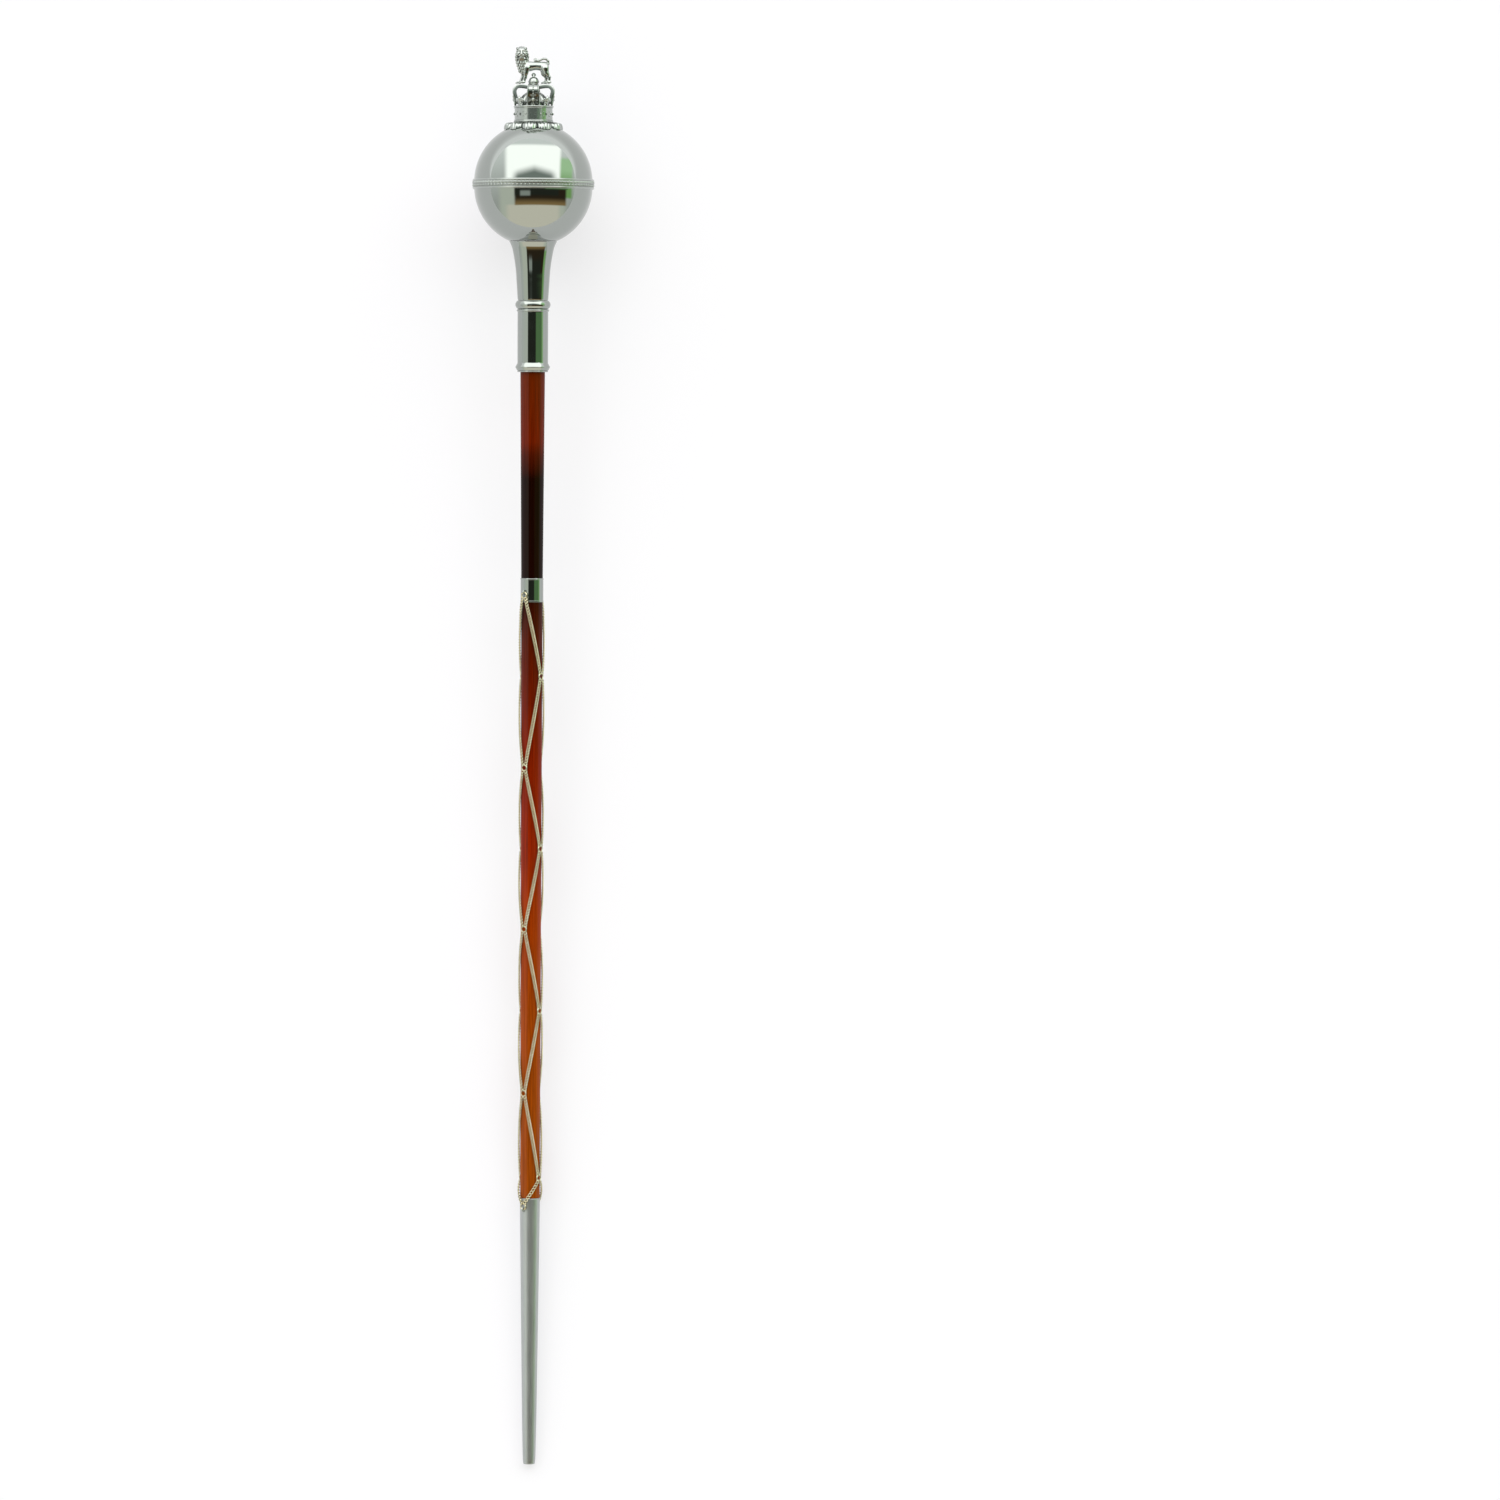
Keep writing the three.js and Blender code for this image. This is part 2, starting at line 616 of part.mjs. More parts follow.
// Limb through stations [x, y, z, half height, half width], both ends drawn in to a blunt point.
function limb(stations, sides) {
  const path = new THREE.CatmullRomCurve3(stations.map(([x, y, z]) => new THREE.Vector3(x, y, z)));
  const across = new THREE.Vector3(0, 0, 1);
  const section = (station, t, scale, shift) => {
    const tangent = path.getTangent(t);
    const up = new THREE.Vector3().crossVectors(across, tangent).normalize();
    const side = new THREE.Vector3().crossVectors(tangent, up).normalize();
    const centre = path.getPoint(t).addScaledVector(tangent, shift);
    const ring = [];
    for (let i = 0; i < sides; i += 1) {
      const angle = 2 * Math.PI * i / sides;
      ring.push(centre.clone()
        .addScaledVector(up, Math.cos(angle) * station[3] * scale)
        .addScaledVector(side, Math.sin(angle) * station[4] * scale));
    }
    return ring;
  };
  const last = stations.length - 1;
  const rings = stations.map((station, i) => section(station, i / last, 1, 0));
  const blunt = 0.5;
  rings.unshift(section(stations[0], 0, blunt, -blunt * stations[0][3]));
  rings.push(section(stations[last], 1, blunt, blunt * stations[last][3]));
  return skinned(rings);
}

function ellipsoid(x, y, z, radiusX, radiusY, radiusZ) {
  const ball = new THREE.SphereGeometry(1, 10, 6);
  ball.scale(radiusX, radiusY, radiusZ);
  return moved(ball, x, y, z);
}

function lionBody() {
  return [
    limb([
      [-12, 1502, 0, 6, 5],
      [-6, 1501.8, 0, 6.2, 5.4],
      [0, 1502.2, 0, 4.9, 4.6],
      [6, 1502.3, 0, 4.6, 4.4],
      [11, 1501.6, 0, 5.4, 5],
      [14.2, 1500.8, 0, 4.2, 4],
    ], 8),
    limb([
      [-11.6, 1495.5, 0.5, 2.6, 3.4],
      [-12.4, 1501, 0.5, 5.4, 5.6],
      [-12.4, 1507, 0.5, 6.8, 6.6],
      [-12.4, 1513, 0.5, 7.4, 6.6],
      [-12.9, 1518.2, 0.5, 6.4, 5.6],
      [-13, 1521.6, 0.5, 3.8, 3.6],
    ], 10),
  ];
}

function lionHead() {
  return [
    ellipsoid(-12.9, 1516.2, 3.6, 5.2, 6.4, 5.2),
    ellipsoid(-12.9, 1513.6, 6.6, 3.1, 3.6, 3.6),
    ellipsoid(-17.2, 1520.4, 2.6, 1.5, 1.7, 1.2),
    ellipsoid(-8.6, 1520.4, 2.6, 1.5, 1.7, 1.2),
  ];
}

function lionLeg(stations, pawX, z) {
  return [
    limb(stations.map(([x, y, half]) => [x, y, z, half, half * 0.85]), 6),
    limb([
      [pawX + 2.6, LION_FOOT_Y + 1.5, z, 1.5, 1.8],
      [pawX, LION_FOOT_Y + 1.4, z, 1.4, 2.1],
      [pawX - 2.8, LION_FOOT_Y + 1.2, z, 1.2, 1.9],
    ], 6),
  ];
}

function lionLegs() {
  const ankle = LION_FOOT_Y + 2;
  return [
    ...lionLeg([[-8.4, 1501, 3.6], [-8.6, 1495, 2.6], [-9.2, 1490, 1.8], [-10.6, ankle, 1.6]],
      -12.2, NEAR),
    ...lionLeg([[-11.6, 1501, 3.4], [-11.6, 1495, 2.2], [-12.4, 1490, 1.7], [-14.4, ankle, 1.5]],
      -16.2, -NEAR),
    ...lionLeg([[12, 1500, 4.2], [13.4, 1494.6, 2.9], [16.6, 1490.2, 1.8], [16.3, ankle, 1.6]],
      15.4, NEAR),
    ...lionLeg([[9.4, 1499, 3.8], [10.4, 1494.2, 2.7], [13.4, 1490, 1.8], [12.4, ankle, 1.6]],
      10.8, -NEAR),
  ];
}

function lionTail() {
  return [
    limb([
      [14.2, 1502, 0, 1.8, 1.8],
      [15.4, 1506, 0, 1.5, 1.5],
      [13.6, 1509.4, 0.4, 1.3, 1.3],
      [10, 1510.3, 0.8, 1.3, 1.3],
      [6.4, 1508.4, 1, 1.3, 1.3],
      [2.6, 1507.4, 1, 1.9, 1.6],
      [0, 1508.8, 1, 1.4, 1.3],
    ], 6),
  ];
}

function buildLion() {
  return joined([...lionBody(), ...lionHead(), ...lionLegs(), ...lionTail()]);
}

// ---------------------------------------------------------------- resting place

// The mace is tipped about X until the strap and the tip both reach just below the ground,
// by the depth of their resting flats.
const strapRestY = SEAM_Y - STRAP_FLAT_HALF_HEIGHT;
const restRun = strapRestY - TIP_STATION;
const restRise = STRAP_RADIUS - TIP_RADIUS;
const restTilt = Math.atan2(restRise, restRun)
  - Math.asin((STRAP_REST_DEPTH - TIP_REST_DEPTH) / Math.hypot(restRun, restRise));
const axisHeight = STRAP_RADIUS * Math.cos(restTilt) - strapRestY * Math.sin(restTilt) - STRAP_REST_DEPTH;

// What lies below the ground plane, seen in the mace's own frame.
function belowGround() {
  const depth = 40;
  const block = new THREE.BoxGeometry(200, 3 * CROWN_SEAT_Y, depth);
  block.translate(0, 0, -depth / 2 - axisHeight);
  block.rotateX(-restTilt);
  return toSolid(block);
}

// ---------------------------------------------------------------- assembly

const finishes = {
  chrome: new THREE.MeshStandardMaterial({ color: '#c9cccf', roughness: 0.08, metalness: 1 }),
  castSilver: new THREE.MeshStandardMaterial({ color: '#c2c5c4', roughness: 0.2, metalness: 1 }),
  paleChain: new THREE.MeshStandardMaterial({ color: '#cbc3a0', roughness: 0.3, metalness: 1 }),
  polishedSteel: new THREE.MeshStandardMaterial({ color: '#a8aaab', roughness: 0.25, metalness: 1 }),
  stainedCane: new THREE.MeshStandardMaterial({ color: '#6b2a0b', roughness: 0.25, metalness: 0 }),
};

const mace = new THREE.Group();

function addPiece(name, solid, finish) {
  const mesh = new THREE.Mesh(toGeometry(solid), finish);
  mesh.name = name;
  mace.add(mesh);
}

const ground = belowGround();
addPiece('lion', buildLion(), finishes.castSilver);
addPiece('crown', buildCrown(), finishes.castSilver);
addPiece('leaf_collar', buildLeafCollar(), finishes.castSilver);
addPiece('ball_upper_half', buildBallUpperHalf(), finishes.chrome);
addPiece('ball_lower_half', buildBallLowerHalf(), finishes.chrome);
addPiece('equator_band', buildStrap().subtract(ground), finishes.castSilver);
addPiece('neck_socket', buildNeck(), finishes.chrome);
addPiece('cane_shaft', buildCane(), finishes.stainedCane);
addPiece('chain_collar', buildChainCollar(), finishes.chrome);
addPiece('chain_net', buildChainNet(), finishes.paleChain);
addPiece('ferrule', buildFerrule().subtract(ground), finishes.polishedSteel);

mace.rotation.x = restTilt;
mace.position.z = axisHeight;

// The origin is the middle of the whole mace's footprint, on the ground.
const part = new THREE.Group();
part.add(mace);
part.updateMatrixWorld(true);
const footprint = new THREE.Box3().setFromObject(part, true).getCenter(new THREE.Vector3());
part.position.set(-footprint.x, -footprint.y, 0);

export default part;
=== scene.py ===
"""Looks of a drum major's ceremonial mace: chromed ball with a crown and lion, beaded neck,
stained cane laced with chain, and a long steel ferrule.

Every piece is drawn in the mace's own frame, in millimetres: +Y runs up the mace from the tip
of the ferrule, +X is to the side and +Z is the front. AXIS_FRAME then lays it down where the
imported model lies.
"""

import math

import bmesh
import bpy
import numpy as np
from mathutils import Matrix, Vector


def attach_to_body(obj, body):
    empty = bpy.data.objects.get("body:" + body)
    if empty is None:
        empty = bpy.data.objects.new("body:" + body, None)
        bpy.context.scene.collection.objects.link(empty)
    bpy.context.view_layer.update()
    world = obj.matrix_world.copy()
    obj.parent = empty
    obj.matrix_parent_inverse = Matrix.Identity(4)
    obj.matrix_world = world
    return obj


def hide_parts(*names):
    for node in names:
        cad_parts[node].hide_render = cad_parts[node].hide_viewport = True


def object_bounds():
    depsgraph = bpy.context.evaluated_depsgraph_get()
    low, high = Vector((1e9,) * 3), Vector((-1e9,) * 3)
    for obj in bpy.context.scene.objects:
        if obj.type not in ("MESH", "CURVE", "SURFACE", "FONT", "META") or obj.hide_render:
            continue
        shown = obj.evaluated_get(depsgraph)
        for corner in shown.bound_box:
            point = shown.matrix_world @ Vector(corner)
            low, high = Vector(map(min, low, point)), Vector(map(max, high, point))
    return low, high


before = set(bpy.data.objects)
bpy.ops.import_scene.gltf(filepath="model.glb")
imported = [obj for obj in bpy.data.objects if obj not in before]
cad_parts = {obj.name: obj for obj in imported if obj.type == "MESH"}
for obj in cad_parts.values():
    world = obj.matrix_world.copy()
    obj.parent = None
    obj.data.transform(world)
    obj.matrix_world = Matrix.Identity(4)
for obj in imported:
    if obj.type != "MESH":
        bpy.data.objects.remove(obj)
cad_low, cad_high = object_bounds()

# ---------------------------------------------------------------- sizes, in millimetres

MM = 0.001
GAP = 0.3  # clearance where one piece fits into another

TIP_END_RADIUS = 5.9
TIP_RADIUS = 6.9
TIP_STATION = 10.0
FERRULE_TOP = 287.5
FERRULE_TOP_RADIUS = 10.7
FERRULE_SOCKET_DEPTH = 60.0
SPIGOT_RADIUS = 9.4  # the cane's turned-down end, inside the ferrule

CANE_TOP = 1252.0
CANE_MOUTH_Y = 1175.0
CANE_TOP_RADIUS = 13.2
CANE_COLLAR_Y = 940.0
CANE_COLLAR_RADIUS = 11.5
CANE_LOW_RADIUS = 10.5

COLLAR_BOTTOM = 928.8
COLLAR_TOP = 954.5
COLLAR_RADIUS = 12.5

NECK_BOTTOM = 1175.3
NECK_TOP = 1315.1
NECK_TUBE_RADIUS = 16.5
NECK_END_BEAD_RADIUS = 18.6
NECK_MIDDLE_BEAD_Y = 1247.4
NECK_MIDDLE_BEAD_RADIUS = 18.9

BALL_RADIUS = 63.5
LOWER_CENTRE = 1373.6
UPPER_CENTRE = 1378.7
SEAM_Y = (LOWER_CENTRE + UPPER_CENTRE) / 2

STRAP_RADIUS = 65.4
STRAP_HALF_HEIGHT = 5.5
STRAP_REST_Y = SEAM_Y - 2.8
STRAP_REST_DEPTH = 0.6
TIP_REST_DEPTH = 0.3
STRAP_MOTIFS = 90

LEAF_COUNT = 10
LEAF_PHASE = math.radians(-8)
LEAF_TIP_RADIUS = 32.0
LEAF_NOTCH_RADIUS = 26.0
LEAF_DROP = 2.4
LEAF_GAP = 0.25
CROWN_SEAT_Y = 1441.9
CROWN_SEAT_RADIUS = 21.0
SEAT_DOME_RISE = 2.4

CIRCLET_BOTTOM = 1442.2
CIRCLET_TOP = 1460.0
CIRCLET_RADIUS = 20.8
CREST_LEAN = 0.16
CREST_INSET = 2.1
JEWEL_INSET = 0.3
ARCH_HALF_WIDTH = 6.8
ARCH_HALF_THICKNESS = 2.6
ARCH_TAPER = 0.35
ARCH_PATH = [(18.1, 1461.5), (18.8, 1468), (20.1, 1474), (19.6, 1478.0), (16.4, 1480.6), (11.4, 1480.6),
             (3.0, 1479.2)]
ARCH_RAIL = [(0.62, 0.46), (0.72, 0.5), (0.76, 0.72), (0.82, 0.88), (0.9, 0.9), (0.96, 0.8), (1.0, 0.55),
             (1.0, -0.5), (0.85, -0.72)]  # across and out, as shares of half the width and thickness
ARCH_CHANNEL = 0.58  # height of the channel between the rails, as such a share
CAP_RADIUS = 17.0
CAP_FOOT_Y = 1459.0
CAP_WALL = 1.6
CAP_PLEATS = 16
CAP_PLEAT_DEPTH = 0.022  # as a share of the radius
CAP_STEM_TOP = 1479.0
ORB_Y = 1485.6
ORB_RADIUS = 5.6

RING_RADIUS = 3.25
RING_WIRE_RADIUS = 0.75
RING_STANDOFF = 1.2
RING_LEVELS = (849.5, 751.0, 664.3, 577.6, 489.8, 400.9, 309.9)
CHAIN_TOP_EYE_Y = 939.5
CHAIN_BOTTOM_EYE_Y = 275.7
CHAIN_PHASE = math.radians(-36)
CHAIN_STANDOFF = 1.65
EYE_RADIUS = 2.05
EYE_WIRE_RADIUS = 0.7
LINK_PITCH = 3.0

LION_FOOT_Y = 1483.4
LION_HEAD_X = -12.9
LION_LEG_Z = 3.3
LION_CELL = 0.23

OPEN_SURFACE = 0.5  # value of the "recess" attribute where a casting is neither hollow nor ridge


def axis_frame():
    """Matrix from the mace's own frame, in millimetres, to where it lies, in metres."""
    run = STRAP_REST_Y - TIP_STATION
    rise = STRAP_RADIUS - TIP_RADIUS
    settle = math.asin((STRAP_REST_DEPTH - TIP_REST_DEPTH) / math.hypot(run, rise))
    tilt = math.atan2(rise, run) - settle
    height = STRAP_RADIUS * math.cos(tilt) - STRAP_REST_Y * math.sin(tilt) - STRAP_REST_DEPTH
    start = cad_low.y / MM + TIP_END_RADIUS * math.sin(tilt)
    laid = Matrix.Translation((0, start, height)) @ Matrix.Rotation(tilt, 4, "X")
    return Matrix.Scale(MM, 4) @ laid


AXIS_FRAME = axis_frame()


# ---------------------------------------------------------------- small helpers


def linear(hex_colour):
    """sRGB hex such as "c8ccca" as linear RGBA."""
    channels = [int(hex_colour[i:i + 2], 16) / 255 for i in (0, 2, 4)]
    return [c / 12.92 if c <= 0.04045 else ((c + 0.055) / 1.055) ** 2.4 for c in channels] + [1.0]


def give(tree, node, inputs):
    """Sets a node's inputs, each to a plain value, a socket, or a node for its first live output."""
    for key, value in inputs.items():
        if isinstance(value, bpy.types.Node):
            value = next(socket for socket in value.outputs if socket.enabled)
        if isinstance(value, bpy.types.NodeSocket):
            tree.links.new(value, node.inputs[key])
        else:
            node.inputs[key].default_value = value


def add(tree, kind, inputs=None, **settings):
    """Adds a node with its settings and its inputs."""
    new = tree.nodes.new(kind)
    for name, value in settings.items():
        setattr(new, name, value)
    give(tree, new, inputs or {})
    return new


def around(radius, y, angle):
    """Point at an angle from the front (+Z) towards +X about the mace's axis."""
    return Vector((radius * math.sin(angle), y, radius * math.cos(angle)))


def smoothstep(value, low, high):
    t = np.clip((value - low) / (high - low), 0, 1)
    return t * t * (3 - 2 * t)


def new_mesh(points, faces):
    mesh = bpy.data.meshes.new("shape")
    mesh.from_pydata([tuple(map(float, p)) for p in points], [], [tuple(map(int, f)) for f in faces])
    mesh.validate()
    return mesh


def recess_values(mesh):
    """The mesh's own recess values, or the open-surface value where it has none."""
    values = np.full(len(mesh.vertices), OPEN_SURFACE, np.float32)
    if "recess" in mesh.attributes:
        mesh.attributes["recess"].data.foreach_get("value", values)
    return values


def set_recess(mesh, values):
    recess = mesh.attributes.get("recess") or mesh.attributes.new("recess", "FLOAT", "POINT")
    recess.data.foreach_set("value", np.clip(values, 0, 1).astype(np.float32))


def joined_mesh(meshes):
    """One mesh from several, each left as its own closed shell."""
    values = np.concatenate([recess_values(mesh) for mesh in meshes])
    build = bmesh.new()
    for mesh in meshes:
        build.from_mesh(mesh)
        bpy.data.meshes.remove(mesh)
    whole = bpy.data.meshes.new("whole")
    build.to_mesh(whole)
    build.free()
    set_recess(whole, values)
    return whole


def facing_out(mesh, merge=False):
    """Turns the faces of closed shells outwards, once points in the same place are merged."""
    build = bmesh.new()
    build.from_mesh(mesh)
    if merge:
        bmesh.ops.remove_doubles(build, verts=build.verts, dist=1e-4)
    bmesh.ops.recalc_face_normals(build, faces=build.faces)
    build.to_mesh(mesh)
    build.free()
    return mesh


def strip_faces(rows, columns, closed=False):
    """Quads between rows of points that run round, the last row joined to the first if closed."""
    faces = []
    for row in range(rows if closed else rows - 1):
        here, ahead = row * columns, (row + 1) % rows * columns
        for i in range(columns):
            j = (i + 1) % columns
            faces.append((here + i, here + j, ahead + j, ahead + i))
    return faces


def scratch_object(name, data):
    made = bpy.data.objects.new(name, data)
    bpy.context.scene.collection.objects.link(made)
    return made


def place(node, mesh, material, sharp=35, on_ground=False):
    """Lays a finished mesh down as the piece that stands for a CAD node, under the node's name."""
    mesh.transform(AXIS_FRAME)
    if on_ground:
        for vertex in mesh.vertices:
            vertex.co.z = max(vertex.co.z, 0.0)
    mesh.shade_smooth()
    mesh.set_sharp_from_angle(angle=math.radians(sharp))
    mesh.materials.clear()
    mesh.materials.append(material)
    mesh.name = node
    piece = scratch_object(node, mesh)
    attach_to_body(piece, "root")
    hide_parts(node)


# ---------------------------------------------------------------- turned work


def arc(centre_radius, centre_y, radius, start, end, steps):
    """Arc of a turned profile as (radius, y) pairs, angles in degrees up from the horizontal."""
    angles = [math.radians(start + (end - start) * i / steps) for i in range(steps + 1)]
    return [(centre_radius + radius * math.cos(a), centre_y + radius * math.sin(a)) for a in angles]


def curve_through(points, steps):
    """Smooth run of (radius, y) pairs through the given ones, Catmull-Rom style."""
    ends = [points[0], *points, points[-1]]
    run = []
    for p0, p1, p2, p3 in zip(ends, ends[1:], ends[2:], ends[3:]):
        for i in range(steps):
            t = i / steps
            run.append(tuple(
                0.5 * (2 * b + (c - a) * t + (2 * a - 5 * b + 4 * c - d) * t * t
                       + (3 * b - a - 3 * c + d) * t ** 3)
                for a, b, c, d in zip(p0, p1, p2, p3)))
    return run + [points[-1]]


def held(profile):
    """The profile with a row just inside both ends of its long runs, so that they shade true."""
    run = [profile[0]]
    for start, end in zip(profile, profile[1:]):
        length = math.dist(start, end)
        for t in (0.2 / length, 1 - 0.2 / length) if length > 3 else ():
            run.append((start[0] + (end[0] - start[0]) * t, start[1] + (end[1] - start[1]) * t))
        run.append(end)
    return run


def turned(profile, sides):
    """Body of revolution about the axis from (radius, y) pairs that run upwards outside.

    It starts and ends on the axis, or ends where it starts.
    """
    closed = math.dist(profile[0], profile[-1]) < 1e-6
    rows = held(profile)
    if closed:
        rows.pop()
    points, first = [], []
    for radius, y in rows:
        first.append(len(points))
        count = sides if radius > 1e-6 else 1
        points += [around(radius, y, 2 * math.pi * i / sides) for i in range(count)]
    wide = [radius > 1e-6 for radius, y in rows]
    faces = []
    for low in range(len(rows) if closed else len(rows) - 1):
        high = (low + 1) % len(rows)
        for i in range(sides):
            j = (i + 1) % sides
            a, b = first[low] + i * wide[low], first[low] + j * wide[low]
            d, c = first[high] + i * wide[high], first[high] + j * wide[high]
            faces.append(list(dict.fromkeys((a, b, c, d))))
    return new_mesh(points, [f for f in faces if len(f) > 2])


def torus(centre, radius, wire, turn):
    """Wire ring; turn is the matrix that takes its flat XY plane where it belongs."""
    steps, sides = 32, 12
    points = []
    for i in range(steps):
        a = 2 * math.pi * i / steps
        for j in range(sides):
            b = 2 * math.pi * j / sides
            reach = radius + wire * math.cos(b)
            points.append(centre + turn @ Vector((reach * math.cos(a), reach * math.sin(a),
                                                  wire * math.sin(b))))
    return facing_out(new_mesh(points, strip_faces(steps, sides, closed=True)))


# ---------------------------------------------------------------- soft modelling on a grid


class Clay:
    """Shapes pressed together with soft joins on a grid of distances, then given a skin."""

    def __init__(self, low, high, cell):
        self.low = np.array(low, float)
        self.cell = cell
        self.count = np.ceil((np.array(high) - self.low) / cell).astype(int) + 1
        self.field = np.full(self.count, 5.0, np.float32)

    def window(self, low, high):
        """Slices of the grid between two corners, with the coordinates of their points."""
        start = np.clip(((np.array(low) - self.low) / self.cell).astype(int) - 1, 0, self.count)
        stop = np.clip(((np.array(high) - self.low) / self.cell).astype(int) + 2, 0, self.count)
        lines = [np.arange(a, b, dtype=np.float32) * np.float32(self.cell) + np.float32(o)
                 for a, b, o in zip(start, stop, self.low)]
        return tuple(slice(a, b) for a, b in zip(start, stop)), np.meshgrid(*lines, indexing="ij")

    def blend(self, distance, low, high, soft, cut=False):
        """Presses a shape on, or cuts it away, with a join that is soft over that width."""
        reach = soft + 2 * self.cell
        spot, xyz = self.window(np.array(low) - reach, np.array(high) + reach)
        if min(s.stop - s.start for s in spot) < 1:
            return
        here = self.field[spot] * (-1 if cut else 1)
        there = distance(*xyz)
        mix = np.clip(0.5 + 0.5 * (here - there) / soft, 0, 1)
        result = here + (there - here) * mix - soft * mix * (1 - mix)
        self.field[spot] = -result if cut else result

    def egg(self, centre, radii, soft=0.6, cut=False):
        c, r = np.array(centre, float), np.array(radii, float)

        def distance(x, y, z):
            k = np.sqrt(((x - c[0]) / r[0]) ** 2 + ((y - c[1]) / r[1]) ** 2 + ((z - c[2]) / r[2]) ** 2)
            return (k - 1) * r.min()

        self.blend(distance, c - r, c + r, soft, cut)

    def rod(self, a, b, ra, rb, soft=0.6, cut=False, flat=1.0):
        """Round-ended rod between two points; flat below 1 thins it front to back."""
        a, b = np.array(a, float), np.array(b, float)
        along = b - a
        length = max(float(along @ along), 1e-9)
        widest = max(ra, rb)

        def distance(x, y, z):
            t = (x - a[0]) * along[0] + (y - a[1]) * along[1] + (z - a[2]) * along[2]
            t = np.clip(t / length, 0, 1)
            dz = (z - a[2] - t * along[2]) / flat
            off = np.sqrt((x - a[0] - t * along[0]) ** 2 + (y - a[1] - t * along[1]) ** 2 + dz ** 2)
            return (off - (ra + (rb - ra) * t)) * flat

        self.blend(distance, np.minimum(a, b) - widest, np.maximum(a, b) + widest, soft, cut)

    def eggs(self, rows, soft):
        """Several eggs, each given as x, y, z and its three radii."""
        for row in rows:
            self.egg(row[:3], row[3:], soft)

    def strand(self, points, radii, soft=0.6, flat=1.0):
        for a, b, ra, rb in zip(points, points[1:], radii, radii[1:]):
            self.rod(a, b, ra, rb, soft, flat=flat)

    def skin(self, smoothing=2):
        """Quad skin over the zero level: one point in each grid cell that the surface crosses."""
        inside = self.field < 0
        corner = [(i, j, k) for i in (0, 1) for j in (0, 1) for k in (0, 1)]
        n = np.array(self.field.shape) - 1
        cells = [self.field[i:i + n[0], j:j + n[1], k:k + n[2]] for i, j, k in corner]
        signs = sum((c < 0).astype(np.int8) for c in cells)
        active = (signs > 0) & (signs < 8)
        at = np.argwhere(active)
        values = np.stack([c[active] for c in cells], 1)
        total, hits = np.zeros((len(at), 3)), np.zeros((len(at), 1))
        for p in range(8):
            for q in range(p + 1, 8):
                step = np.array(corner[q]) - corner[p]
                if np.abs(step).sum() != 1:
                    continue
                crossing = ((values[:, p] < 0) != (values[:, q] < 0))[:, None]
                t = values[:, p] / np.where(values[:, p] == values[:, q], 1, values[:, p] - values[:, q])
                total += crossing * (np.array(corner[p]) + t[:, None] * step)
                hits += crossing
        points = self.low + self.cell * (at + total / hits)
        index = np.full(active.shape, -1)
        index[active] = np.arange(len(at))
        faces = []
        for axis in range(3):
            u, v = (axis + 1) % 3, (axis + 2) % 3
            low = [slice(1, m) for m in n]
            low[axis] = slice(0, n[axis])
            high = list(low)
            high[axis] = slice(1, n[axis] + 1)
            here, there = inside[tuple(low)], inside[tuple(high)]
            for enters, mask in ((False, here & ~there), (True, there & ~here)):
                base = np.argwhere(mask) + [s.start for s in low]
                ring = []
                for du, dv in ((-1, -1), (0, -1), (0, 0), (-1, 0)):
                    shift = np.zeros(3, int)
                    shift[u], shift[v] = du, dv
                    ring.append(index[tuple((base + shift).T)])
                quads = np.stack(ring, 1)
                faces.append(quads[:, ::-1] if enters else quads)
        faces = np.concatenate(faces)
        for _ in range(smoothing):
            points = relaxed(points, faces, 0.5)
        return new_mesh(points, faces)


def relaxed(points, faces, amount):
    """Each point moved towards the middle of its neighbours round the faces."""
    ahead = faces.ravel()
    behind = np.roll(faces, 1, axis=1).ravel()
    ends = np.concatenate([ahead, behind])
    others = np.concatenate([behind, ahead])
    count = np.bincount(ends, minlength=len(points))[:, None]
    total = np.stack([np.bincount(ends, points[others, i], len(points)) for i in range(3)], 1)
    return points + amount * (total / np.maximum(count, 1) - points)


def shade_hollows(mesh, depth, passes=6):
    """Point attribute "recess" for painted shade: 0.5 on open surface, up to 1 in hollows, down to 0 on
    ridges.
    """
    points = np.empty(len(mesh.vertices) * 3)
    mesh.vertices.foreach_get("co", points)
    points = points.reshape(-1, 3)
    normals = np.array([tuple(n.vector) for n in mesh.vertex_normals])
    edges = np.empty(len(mesh.edges) * 2, int)
    mesh.edges.foreach_get("vertices", edges)
    edges = edges.reshape(-1, 2)
    soft = points.copy()
    for _ in range(passes):
        soft = relaxed(soft, edges, 0.7)
    rise = ((soft - points) * normals).sum(1) / depth
    set_recess(mesh, OPEN_SURFACE + 0.5 * rise)
    return mesh


# ---------------------------------------------------------------- materials


def shader(name):
    """New material with its node tree, its Principled shader and its Object coordinates."""
    material = bpy.data.materials.new(name)
    material.use_nodes = True
    tree = material.node_tree
    surface = tree.nodes["Principled BSDF"]
    coordinates = add(tree, "ShaderNodeTexCoord").outputs["Object"]
    return material, tree, surface, coordinates


def along_mace(tree, coordinates):
    """Object coordinates turned back into the mace's own frame, in metres."""
    location, rotation = AXIS_FRAME.decompose()[:2]
    return add(tree, "ShaderNodeMapping", {"Vector": coordinates, "Location": location,
                                           "Rotation": rotation.to_euler()}, vector_type="TEXTURE")


